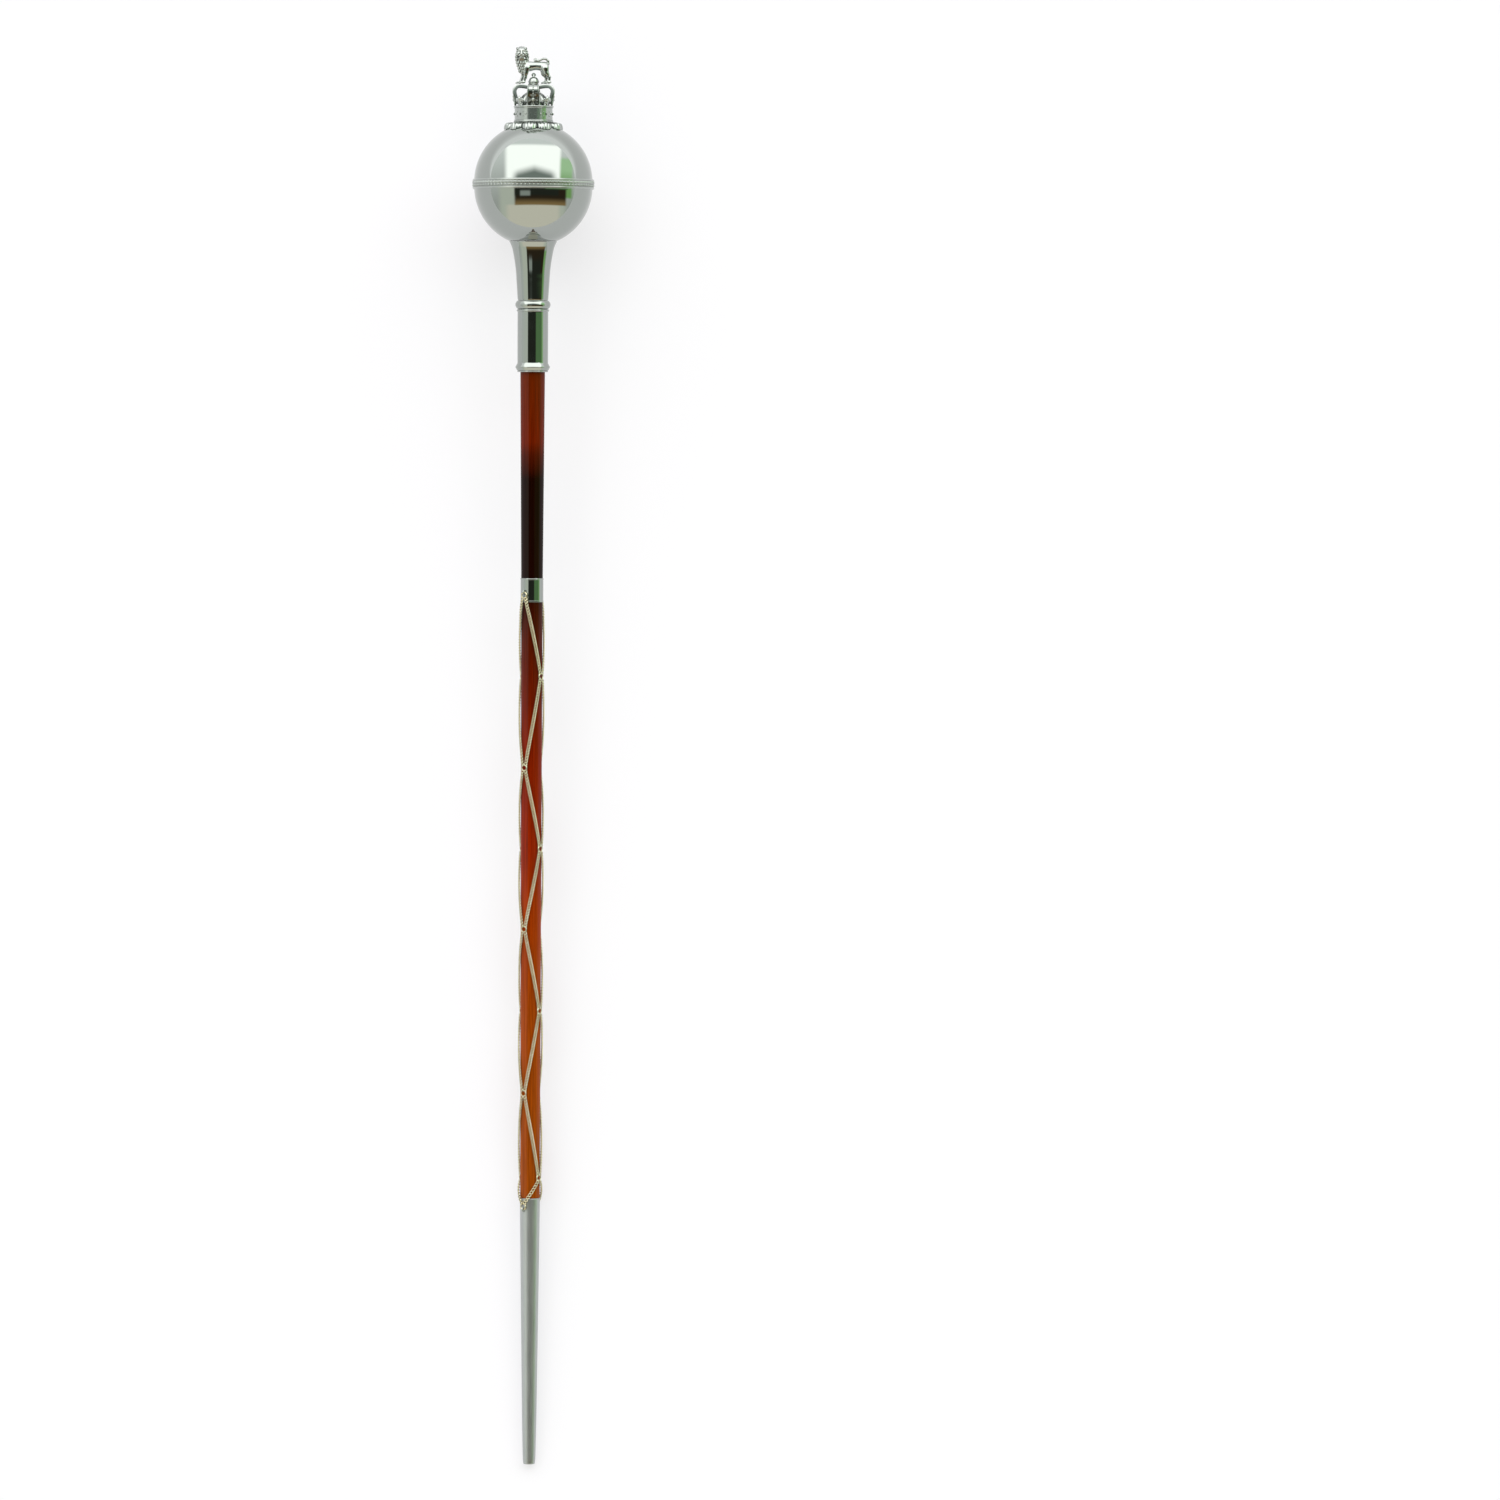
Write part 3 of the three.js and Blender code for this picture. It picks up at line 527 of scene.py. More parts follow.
def chrome_plate():
    """Bright chromium over spun brass: a true mirror, broken only by faint wiping marks."""
    material, tree, surface, coordinates = shader("chrome_plate_on_spun_brass")
    wipe = add(tree, "ShaderNodeTexNoise", {"Vector": coordinates, "Scale": 60.0, "Detail": 6.0})
    rough = add(tree, "ShaderNodeMapRange", {"Value": wipe, "From Min": 0.35, "From Max": 0.75,
                                             "To Min": 0.025, "To Max": 0.075})
    ripple = add(tree, "ShaderNodeTexNoise", {"Vector": coordinates, "Scale": 25.0, "Detail": 1.0})
    bump = add(tree, "ShaderNodeBump", {"Height": ripple, "Strength": 0.02, "Distance": 0.0004})
    give(tree, surface, {"Base Color": linear("9fa4a0"), "Metallic": 1.0, "Roughness": rough,
                         "Normal": bump})
    return material


def plated_casting():
    """Chromed white-metal casting with painted shade: its colour is bright on the high places and grey in
    the hollows, led by the "recess" attribute.
    """
    material, tree, surface, coordinates = shader("chrome_plated_casting")
    recess = add(tree, "ShaderNodeAttribute", attribute_name="recess").outputs["Fac"]
    # Painted shade: from the open-surface value upwards, hollows grade from the light tone to dark grey.
    deep = add(tree, "ShaderNodeMapRange", {"Value": recess, "From Min": 0.5, "From Max": 0.95})
    tone = add(tree, "ShaderNodeMix", {"Factor": deep, "A": linear("a8ada9"), "B": linear("3c413c")},
               data_type="RGBA")
    rough = add(tree, "ShaderNodeMapRange", {"Value": deep, "To Min": 0.15, "To Max": 0.42})
    grit = add(tree, "ShaderNodeTexNoise", {"Vector": coordinates, "Scale": 900.0, "Detail": 4.0})
    bump = add(tree, "ShaderNodeBump", {"Height": grit, "Strength": 0.15, "Distance": 0.0001})
    give(tree, surface, {"Base Color": tone, "Metallic": 1.0, "Roughness": rough, "Normal": bump})
    return material


def plated_chain():
    """Nickel-plated brass curb chain: a warm, slightly creamy silver with soft highlights."""
    material, tree, surface, coordinates = shader("nickel_plated_chain")
    patch = add(tree, "ShaderNodeTexNoise", {"Vector": coordinates, "Scale": 180.0, "Detail": 3.0})
    tone = add(tree, "ShaderNodeMix", {"Factor": patch, "A": linear("b9ad86"), "B": linear("e4dfc6")},
               data_type="RGBA")
    give(tree, surface, {"Base Color": tone, "Metallic": 1.0, "Roughness": 0.24})
    return material


def linished_ferrule():
    """Linished steel tube: satin grey, with fine scratches along its length from the ground."""
    material, tree, surface, coordinates = shader("linished_steel_tube")
    stretched = add(tree, "ShaderNodeMapping", {"Vector": along_mace(tree, coordinates),
                                                "Scale": (1600, 30, 1600)})
    streak = add(tree, "ShaderNodeTexNoise", {"Vector": stretched, "Scale": 1.0, "Detail": 3.0})
    tone = add(tree, "ShaderNodeMix", {"Factor": streak, "A": linear("a3a7a7"), "B": linear("bcbfbe")},
               data_type="RGBA")
    rough = add(tree, "ShaderNodeMapRange", {"Value": streak, "To Min": 0.34, "To Max": 0.46})
    bump = add(tree, "ShaderNodeBump", {"Height": streak, "Strength": 0.12, "Distance": 0.00005})
    give(tree, surface, {"Base Color": tone, "Metallic": 1.0, "Roughness": rough, "Normal": bump})
    return material


def lacquered_cane():
    """Malacca cane, stained and lacquered: dark under the head and round the collar, fading to
    orange brown at the ferrule, with fine grain along it under a thin gloss."""
    material, tree, surface, coordinates = shader("lacquered_malacca_cane")
    own = along_mace(tree, coordinates)
    height = add(tree, "ShaderNodeSeparateXYZ", {"Vector": own}).outputs["Y"]
    wander = add(tree, "ShaderNodeTexNoise", {"Vector": own, "Scale": 14.0, "Detail": 2.0})
    shifted = add(tree, "ShaderNodeMath", {0: wander, 1: 0.02, 2: height}, operation="MULTIPLY_ADD")
    share = add(tree, "ShaderNodeMapRange", {"Value": shifted, "From Min": FERRULE_TOP * MM + 0.01,
                                             "From Max": CANE_MOUTH_Y * MM + 0.01})
    stain = add(tree, "ShaderNodeValToRGB", {"Fac": share})
    tones = (
        (0.0, "944408"),
        (0.22, "963f05"),
        (0.34, "933202"),
        (0.42, "862102"),
        (0.54, "791b00"),
        (0.63, "5f1601"),
        (0.705, "401001"),
        (0.745, "180401"),
        (0.87, "170400"),
        (0.9, "481101"),
        (0.918, "671900"),
        (1.0, "611f00"),
    )
    ramp = stain.color_ramp.elements
    while len(ramp) < len(tones):
        ramp.new(0.5)
    for element, (position, tone) in zip(ramp, tones):
        element.position = position
        element.color = linear(tone)
    stretched = add(tree, "ShaderNodeMapping", {"Vector": own, "Scale": (900, 16, 900)})
    grain = add(tree, "ShaderNodeTexNoise", {"Vector": stretched, "Scale": 1.0, "Detail": 5.0,
                                             "Roughness": 0.6})
    dark = add(tree, "ShaderNodeMapRange", {"Value": grain, "From Min": 0.35, "From Max": 0.65,
                                            "To Min": 0.62, "To Max": 1.15})
    tone = add(tree, "ShaderNodeVectorMath", {0: stain, "Scale": dark}, operation="SCALE")
    bump = add(tree, "ShaderNodeBump", {"Height": grain, "Strength": 0.1, "Distance": 0.0001})
    give(tree, surface, {"Base Color": tone, "Roughness": 0.4, "Normal": bump, "Specular IOR Level": 0.0,
                         "Coat Weight": 0.3, "Coat Roughness": 0.05})
    return material


def light_table():
    """Opal acrylic table top, lit from below so that shadows on it stay faint, and more strongly
    beyond the head end."""
    material, tree, surface, coordinates = shader("back_lit_opal_acrylic")
    along = add(tree, "ShaderNodeSeparateXYZ", {"Vector": coordinates}).outputs["Y"]
    glow = add(tree, "ShaderNodeMapRange", {"Value": along, "From Min": 0.82, "From Max": 1.1,
                                            "To Min": 0.62, "To Max": 1.1})
    give(tree, surface, {"Base Color": linear("9c9c9f"), "Roughness": 0.9, "Specular IOR Level": 0.1,
                         "Emission Color": linear("fdfcff"), "Emission Strength": glow})
    return material


CHROME = chrome_plate()
CASTING = plated_casting()
CHAIN = plated_chain()
STEEL = linished_ferrule()
CANE = lacquered_cane()


# ---------------------------------------------------------------- cane, collar and ferrule


def cane_radius(y):
    if y > CANE_COLLAR_Y:
        t = min((y - CANE_COLLAR_Y) / (CANE_MOUTH_Y - CANE_COLLAR_Y), 1)
        return CANE_COLLAR_RADIUS + (CANE_TOP_RADIUS - CANE_COLLAR_RADIUS) * t
    t = (y - FERRULE_TOP) / (CANE_COLLAR_Y - FERRULE_TOP)
    return CANE_LOW_RADIUS + (CANE_COLLAR_RADIUS - CANE_LOW_RADIUS) * t


def surface_radius(y):
    """Radius of what the chain lies on, with an easy ramp off the collar."""
    ramp = float(smoothstep(y, COLLAR_BOTTOM - 26, COLLAR_BOTTOM - 3))
    on_cane = cane_radius(y) if y > FERRULE_TOP + GAP else FERRULE_TOP_RADIUS
    return on_cane + (COLLAR_RADIUS - on_cane) * ramp


def eyes(y, surface):
    """Two wire eyes on opposite sides of a turned piece, their holes facing the way round."""
    made = []
    for angle in (CHAIN_PHASE, CHAIN_PHASE + math.pi):
        turn = Matrix.Rotation(math.pi / 2 + angle, 3, "Y")
        made.append(torus(around(surface + RING_STANDOFF, y, angle), EYE_RADIUS, EYE_WIRE_RADIUS, turn))
    return made


def make_cane():
    low = FERRULE_TOP - FERRULE_SOCKET_DEPTH + GAP
    shoulder = FERRULE_TOP + GAP
    profile = [(0, low), (SPIGOT_RADIUS, low), (SPIGOT_RADIUS, shoulder),
               (cane_radius(shoulder) - 0.3, shoulder), (cane_radius(shoulder), shoulder + 0.4)]
    steps = 40
    for i in range(1, steps + 1):
        y = shoulder + (CANE_MOUTH_Y - shoulder) * i / steps
        profile.append((cane_radius(y), y))
    profile += [(CANE_TOP_RADIUS, CANE_TOP), (0, CANE_TOP)]
    place("cane_shaft", turned(profile, 96), CANE)


def make_chain_collar():
    bore = cane_radius(COLLAR_BOTTOM) + 0.35
    profile = [
        (bore, COLLAR_BOTTOM),
        *arc(COLLAR_RADIUS - 0.5, COLLAR_BOTTOM + 0.5, 0.5, -90, 0, 5),
        (COLLAR_RADIUS, COLLAR_BOTTOM + 1.4),
        (COLLAR_RADIUS - 0.25, COLLAR_BOTTOM + 1.7),
        (COLLAR_RADIUS - 0.25, COLLAR_TOP - 1.7),
        (COLLAR_RADIUS, COLLAR_TOP - 1.4),
        *arc(COLLAR_RADIUS - 0.5, COLLAR_TOP - 0.5, 0.5, 0, 90, 5),
        (bore, COLLAR_TOP),
        (bore, COLLAR_BOTTOM),
    ]
    pieces = [turned(profile, 96), *eyes(CHAIN_TOP_EYE_Y, COLLAR_RADIUS)]
    place("chain_collar", joined_mesh(pieces), CHROME)


def make_ferrule():
    bore = SPIGOT_RADIUS + GAP
    bottom = FERRULE_TOP - FERRULE_SOCKET_DEPTH
    outside = curve_through([(6.6, 4), (TIP_RADIUS, TIP_STATION), (7.8, 53), (8.4, 100), (9.5, 181),
                             (FERRULE_TOP_RADIUS, FERRULE_TOP - 8)], 6)
    profile = [
        (0, 0),
        (3, 0.1),
        *arc(TIP_END_RADIUS - 0.8, 1.0, 1.2, -70, 10, 6),
        *outside,
        (FERRULE_TOP_RADIUS + 0.15, FERRULE_TOP - 1.6),
        *arc(FERRULE_TOP_RADIUS - 0.35, FERRULE_TOP - 0.5, 0.5, 0, 90, 5),
        (bore, FERRULE_TOP),
        (bore, bottom),
        (0, bottom),
    ]
    pieces = [turned(profile, 96), *eyes(CHAIN_BOTTOM_EYE_Y, FERRULE_TOP_RADIUS)]
    place("ferrule", joined_mesh(pieces), STEEL, on_ground=True)


# ---------------------------------------------------------------- chain net


def chain_knots():
    """(level, y, angle) of every ring, two on opposite sides of each level."""
    levels = (CHAIN_TOP_EYE_Y - RING_RADIUS, *RING_LEVELS, CHAIN_BOTTOM_EYE_Y + RING_RADIUS)
    return [(level, y, CHAIN_PHASE + math.pi * side + level % 2 * math.pi / 2)
            for level, y in enumerate(levels) for side in (0, 1)]


def strand_points(y_from, angle, y_to, turn):
    """Path of one strand's link middles, from beside one ring to beside the next."""
    hooked, aside, steps = 4.2, 1.9, 24
    side = aside / surface_radius((y_from + y_to) / 2)
    points = []
    for i in range(steps + 1):
        t = i / steps
        y = y_from - hooked + (y_to - y_from + 2 * hooked) * t
        swing = side + (abs(turn) - 2 * side) * t
        radius = surface_radius(y) + CHAIN_STANDOFF
        points.append(around(radius, y, angle + math.copysign(swing, turn)))
    return points


def curb_link():
    """One oval link of round wire, twisted so that its two sides lie over and under."""
    half_length, half_width, wire = 2.15, 1.5, 0.56
    steps, sides, twist = 14, 6, math.radians(62)

    def middle(a):
        y = half_width * math.sin(a)
        lean = twist * math.cos(a)
        return Vector((half_length * math.cos(a), y * math.cos(lean), y * math.sin(lean)))

    points = []
    for i in range(steps):
        a = 2 * math.pi * i / steps
        ahead = (middle(a + 0.01) - middle(a - 0.01)).normalized()
        up = ahead.cross(middle(a).normalized()).normalized()
        out = up.cross(ahead)
        for j in range(sides):
            b = 2 * math.pi * j / sides
            points.append(middle(a) + wire * (out * math.cos(b) + up * math.sin(b)))
    return facing_out(new_mesh(points, strip_faces(steps, sides, closed=True)))


def to_plain_mesh(carrier, scraps):
    """The evaluated result of a piece's modifiers as a mesh, its helpers removed."""
    evaluated = carrier.evaluated_get(bpy.context.evaluated_depsgraph_get())
    mesh = bpy.data.meshes.new_from_object(evaluated)
    for scrap in (carrier, *scraps):
        bpy.data.objects.remove(scrap)
    return mesh


def node_tree(name, *sockets):
    """Geometry node tree with a Geometry input and output, and the named inputs given."""
    tree = bpy.data.node_groups.new(name, "GeometryNodeTree")
    face = tree.interface
    face.new_socket("Geometry", in_out="OUTPUT", socket_type="NodeSocketGeometry")
    for socket, kind in (("Geometry", "Geometry"), *sockets):
        face.new_socket(socket, in_out="INPUT", socket_type="NodeSocket" + kind)
    return tree, add(tree, "NodeGroupInput").outputs


def finish_tree(tree, given, *parts):
    """Ends a tree: the parts joined, their instances made real, and the finish put on."""
    whole = add(tree, "GeometryNodeJoinGeometry")
    for part in parts:
        give(tree, whole, {"Geometry": part})
    real = add(tree, "GeometryNodeRealizeInstances", {"Geometry": whole})
    finish = add(tree, "GeometryNodeSetMaterial", {"Geometry": real, "Material": given["Finish"]})
    add(tree, "NodeGroupOutput", {"Geometry": finish})
    return tree


def attach(carrier, tree, **values):
    """Puts the tree on the carrier, its inputs set by their sockets' identifiers."""
    modifier = carrier.modifiers.new(tree.name, "NODES")
    modifier.node_group = tree
    names = {item.name: item.identifier for item in tree.interface.items_tree
             if item.in_out == "INPUT"}
    for name, value in values.items():
        modifier[names[name.replace("_", " ")]] = value


def facing_axis(tree, forward, axis="X"):
    """Rotation whose own axis runs along forward and whose Z points straight out from the mace."""
    position = add(tree, "GeometryNodeInputPosition")
    outwards = add(tree, "ShaderNodeVectorMath", {0: position, 1: (1, 0, 1)}, operation="MULTIPLY")
    run = add(tree, "FunctionNodeAlignRotationToVector", {"Vector": forward}, axis=axis)
    return add(tree, "FunctionNodeAlignRotationToVector", {"Rotation": run, "Vector": outwards},
               axis="Z", pivot_axis=axis)


def chain_tree():
    """Links along every strand and a wire ring on every loose point."""
    tree, given = node_tree("chain_net", ("Link", "Object"), ("Pitch", "Float"), ("Ring Radius", "Float"),
                            ("Wire Radius", "Float"), ("Finish", "Material"))
    path = add(tree, "GeometryNodeMeshToCurve", {"Mesh": given["Geometry"]})
    spaced = add(tree, "GeometryNodeResampleCurve", {"Curve": path, "Length": given["Pitch"]},
                 mode="LENGTH")
    tangent = add(tree, "GeometryNodeInputTangent")
    link = add(tree, "GeometryNodeObjectInfo", {"Object": given["Link"]}).outputs["Geometry"]
    links = add(tree, "GeometryNodeInstanceOnPoints", {"Points": spaced, "Instance": link,
                                                       "Rotation": facing_axis(tree, tangent)})
    wire = add(tree, "GeometryNodeCurvePrimitiveCircle",
               {"Resolution": 28, "Radius": given["Ring Radius"]})
    section = add(tree, "GeometryNodeCurvePrimitiveCircle",
                  {"Resolution": 10, "Radius": given["Wire Radius"]})
    ring = add(tree, "GeometryNodeCurveToMesh", {"Curve": wire, "Profile Curve": section})
    neighbours = add(tree, "GeometryNodeInputMeshVertexNeighbors")
    alone = add(tree, "FunctionNodeCompare", {2: neighbours, 3: 0}, data_type="INT", operation="EQUAL")
    knots = add(tree, "GeometryNodeMeshToPoints", {"Mesh": given["Geometry"], "Selection": alone})
    rings = add(tree, "GeometryNodeInstanceOnPoints", {"Points": knots, "Instance": ring,
                                                       "Rotation": facing_axis(tree, (0, 1, 0))})
    return finish_tree(tree, given, links, rings)


def make_chain_net():
    knots = chain_knots()
    points, edges = [], []
    for level, y, angle in knots:
        points.append(around(surface_radius(y) + RING_STANDOFF, y, angle))
        below = [k[1] for k in knots if k[0] == level + 1]
        for turn in (math.pi / 2, -math.pi / 2) if below else ():
            path = strand_points(y, angle, below[0], turn)
            edges += [(len(points) + i, len(points) + i + 1) for i in range(len(path) - 1)]
            points += path
    paths = bpy.data.meshes.new("strand_paths")
    paths.from_pydata([tuple(p) for p in points], edges, [])
    carrier = scratch_object("strand_paths", paths)
    link = scratch_object("link", curb_link())
    attach(carrier, chain_tree(), Link=link, Pitch=LINK_PITCH, Ring_Radius=RING_RADIUS,
           Wire_Radius=RING_WIRE_RADIUS, Finish=CHAIN)
    mesh = to_plain_mesh(carrier, [link])
    place("chain_net", facing_out(mesh), CHAIN, sharp=60)


# ---------------------------------------------------------------- neck and ball


def make_neck():
    foot = NECK_BOTTOM
    end_bead = curve_through([(17.1, foot + 2.1), (17.9, foot + 3.7), (NECK_END_BEAD_RADIUS, foot + 5.2),
                              (18.2, foot + 6.4), (17.4, foot + 7.9), (16.6, foot + 9.4)], 5)
    middle_ring = arc(NECK_TUBE_RADIUS - 0.3, NECK_MIDDLE_BEAD_Y - 6.2, 1.3, -70, 60, 8)
    middle_bead = arc(NECK_MIDDLE_BEAD_RADIUS - 5.4, NECK_MIDDLE_BEAD_Y, 5.4, -56, 62, 18)
    flare = curve_through([
        (NECK_TUBE_RADIUS, NECK_MIDDLE_BEAD_Y + 6),
        (16.8, 1258),
        (17.35, 1266.5),
        (17.9, 1275),
        (18.6, 1284.8),
        (19.8, 1294),
        (21.5, 1303.5),
        (22.4, 1307.5),
        (23.4, 1310.5),
        (25.1, NECK_TOP - 0.9),
    ], 6)
    bore = CANE_TOP_RADIUS + GAP
    profile = [
        (0, CANE_TOP + GAP),
        (bore, CANE_TOP + GAP),
        (bore, foot + 0.5),
        (bore + 0.5, foot),
        *arc(NECK_TUBE_RADIUS - 0.65, foot + 0.8, 0.8, -90, 60, 8),
        *end_bead,
        (NECK_TUBE_RADIUS, foot + 10),
        (NECK_TUBE_RADIUS, NECK_MIDDLE_BEAD_Y - 8),
        *middle_ring,
        *middle_bead,
        *flare,
        (25.5, NECK_TOP - 0.6),
        (25.6, NECK_TOP - 0.2),
        (25.4, NECK_TOP),
        (0, NECK_TOP),
    ]
    place("neck_socket", turned(profile, 160), CHROME, sharp=38)


def make_ball():
    foot = NECK_TOP + GAP
    cut = math.degrees(math.asin((foot - LOWER_CENTRE) / BALL_RADIUS))
    below, above = SEAM_Y - GAP / 2, SEAM_Y + GAP / 2
    lower = [(0, foot), *arc(0, LOWER_CENTRE, BALL_RADIUS, cut, 0, 72), (BALL_RADIUS, below), (0, below)]
    upper = [(0, above), (BALL_RADIUS, above), *arc(0, UPPER_CENTRE, BALL_RADIUS, 0, 89.5, 90),
             (0, UPPER_CENTRE + BALL_RADIUS)]
    place("ball_lower_half", turned(lower, 256), CHROME)
    place("ball_upper_half", turned(upper, 256), CHROME)


# ---------------------------------------------------------------- strap round the ball


def strap_motif():
    """One repeat of the stamped border: a pearl below a three-lobed leaf, rising along Z.

    X runs round the ball and Y up the mace.
    """
    clay = Clay((-3.1, -3.4, -0.4), (3.3, 3.9, 1.3), 0.3)
    clay.egg((0, -1.75, 0), (1.25, 1.15, 0.75), soft=0.15)
    clay.egg((2.28, -1.75, 0), (0.75, 0.7, 0.5), soft=0.15)
    clay.rod((-1.3, -0.15, 0), (1.3, -0.15, 0), 0.42, 0.42, soft=0.2)
    clay.egg((0, 1.75, 0), (0.85, 1.6, 0.65), soft=0.2)
    for side in (-1, 1):
        clay.rod((side * 0.4, 0.1, 0), (side * 1.55, 1.3, 0), 0.45, 0.78, soft=0.2)
        clay.rod((side * 1.55, 1.3, 0), (side * 1.85, 2.3, 0), 0.7, 0.42, soft=0.2)
    mesh = clay.skin(smoothing=1)
    heights = np.array([vertex.co.z for vertex in mesh.vertices])
    # Painted shade: the low parts of the motif grow darker, and the high parts keep the light tone.
    set_recess(mesh, 0.6 - 0.35 * heights)
    return mesh


def strap_tree():
    """The motif repeated round the strap, standing on its outer face."""
    tree, given = node_tree("strap_border", ("Motif", "Object"), ("Count", "Int"), ("Radius", "Float"),
                            ("Height", "Float"), ("Finish", "Material"))
    circle = add(tree, "GeometryNodeMeshCircle", {"Vertices": given["Count"], "Radius": given["Radius"]})
    lift = add(tree, "ShaderNodeCombineXYZ", {"Y": given["Height"]})
    upright = add(tree, "GeometryNodeTransform", {"Geometry": circle, "Translation": lift,
                                                  "Rotation": (math.pi / 2, 0, 0)})
    motif = add(tree, "GeometryNodeObjectInfo", {"Object": given["Motif"]}).outputs["Geometry"]
    turn = facing_axis(tree, (0, 1, 0), axis="Y")
    border = add(tree, "GeometryNodeInstanceOnPoints", {"Points": upright, "Instance": motif,
                                                        "Rotation": turn})
    return finish_tree(tree, given, border, given["Geometry"])


def make_strap():
    inner = BALL_RADIUS + GAP
    face = STRAP_RADIUS - 0.75
    low, high = SEAM_Y - STRAP_HALF_HEIGHT, SEAM_Y + STRAP_HALF_HEIGHT
    profile = [
        (inner, low),
        *arc(inner + 0.35, low + 0.55, 0.55, -90, 20, 6),
        *arc(face - 0.1, low + 1.75, 0.72, -70, 60, 8),
        (face, low + 2.6),
        (face, high - 1.9),
        *arc(face - 0.05, high - 1.35, 0.6, -50, 60, 7),
        *arc(inner + 0.3, high - 0.5, 0.5, -10, 90, 6),
        (inner, high),
        (inner, low),
    ]
    band = turned(profile, 270)
    reach = np.array([math.hypot(v.co.x, v.co.z) for v in band.vertices])
    off_middle = np.array([abs(v.co.y - SEAM_Y) for v in band.vertices])
    in_field = (reach < face + 0.02) & (reach > inner + 0.2) & (off_middle < STRAP_HALF_HEIGHT - 1.5)
    # Painted shade: the sunk field between the rims is a little darker.
    set_recess(band, np.where(in_field, 0.58, OPEN_SURFACE))
    carrier = scratch_object("strap", band)
    motif = scratch_object("motif", strap_motif())
    attach(carrier, strap_tree(), Motif=motif, Count=STRAP_MOTIFS, Radius=face, Height=SEAM_Y + 0.2,
           Finish=CASTING)
    mesh = to_plain_mesh(carrier, [motif])
    place("equator_band", mesh, CASTING, on_ground=True)


# ---------------------------------------------------------------- leaf collar


def leaf_top(radius):
    t = np.maximum(radius - CROWN_SEAT_RADIUS, 0) / (LEAF_TIP_RADIUS - CROWN_SEAT_RADIUS)
    return CROWN_SEAT_Y - LEAF_DROP * t ** 1.9


def on_ball(radius):
    return UPPER_CENTRE + np.sqrt((BALL_RADIUS + LEAF_GAP) ** 2 - radius ** 2)


def make_leaf_collar():
    """Ten leaves that curl down on to the ball, each with a midrib, flutes and a lobed edge."""
    columns_per_leaf = 52
    columns = LEAF_COUNT * columns_per_leaf
    column = np.arange(columns)
    across = 2 * (column % columns_per_leaf) / columns_per_leaf - 1
    angle = LEAF_PHASE + (column / columns_per_leaf - 0.5) * 2 * math.pi / LEAF_COUNT
    scallop = np.cos(np.pi / 2 * across) ** 0.6
    lobes = 0.6 * (np.abs(np.cos(2.5 * np.pi * across)) - 0.6) * scallop
    edge = LEAF_NOTCH_RADIUS + (LEAF_TIP_RADIUS - LEAF_NOTCH_RADIUS - 0.3) * scallop + lobes
    flutes = 0.42 * np.cos(5 * np.pi * across) * scallop
    midrib = 0.5 * np.exp(-(across / 0.09) ** 2)
    rounds_from = 0.8  # share of the way out at which a leaf's edge starts to round over
    rows = []

    def add_row(radius, height):
        x, y, z = np.broadcast_arrays(radius * np.sin(angle), height, radius * np.cos(angle))
        rows.append(np.stack([x, y, z], 1))

    for share in (0.0, 0.35, 0.7, 1.0):
        add_row(share * CROWN_SEAT_RADIUS, on_ball(share * CROWN_SEAT_RADIUS))
    for share, lift in ((0.5, 0), (rounds_from, 0), (1.0, 0.2)):
        radius = CROWN_SEAT_RADIUS + (edge - CROWN_SEAT_RADIUS) * share
        add_row(radius, on_ball(radius) + lift)
    steps = 34
    for i in range(steps + 1):
        share = 1 - (i / steps) ** 1.4
        radius = CROWN_SEAT_RADIUS + (edge - CROWN_SEAT_RADIUS) * share
        over_edge = max(share - rounds_from, 0) / (1 - rounds_from)
        lift = 0.3 * over_edge
        stands = leaf_top(radius) - on_ball(radius) - lift
        rounding = math.sqrt(1 - over_edge ** 2)
        valley = 1 - 0.6 * share * (1 - scallop)
        relief = (flutes + midrib) * min(share * 1.6, 1) * rounding
        add_row(radius, on_ball(radius) + lift + stands * rounding * valley + relief)
    add_row(CROWN_SEAT_RADIUS * 0.85, CROWN_SEAT_Y)
    add_row(0.0, CROWN_SEAT_Y + SEAT_DOME_RISE)
    mesh = new_mesh(np.concatenate(rows), strip_faces(len(rows), columns))
    # Painted shade: darker in the hollows of flutes and lobes, and darker still inwards of 29 mm from the
    # axis, beside the circlet.
    shade_hollows(facing_out(mesh, merge=True), 0.22, passes=16)
    reach = np.array([math.hypot(vertex.co.x, vertex.co.z) for vertex in mesh.vertices])
    set_recess(mesh, recess_values(mesh) + 0.4 * np.clip((29 - reach) / 4, 0, 1))
    place("leaf_collar", mesh, CASTING, sharp=60)


# ---------------------------------------------------------------- crown


def wrapped(mesh, angle, inset, foot, lean=0.0):
    """Flat relief, X round, Y up and Z out, bent round the circlet and leaned outwards."""
    for vertex in mesh.vertices:
        x, y, z = vertex.co
        radius = CIRCLET_RADIUS - inset + z + lean * max(y, 0)
        vertex.co = around(radius, foot + y, angle + x / CIRCLET_RADIUS)
    return mesh


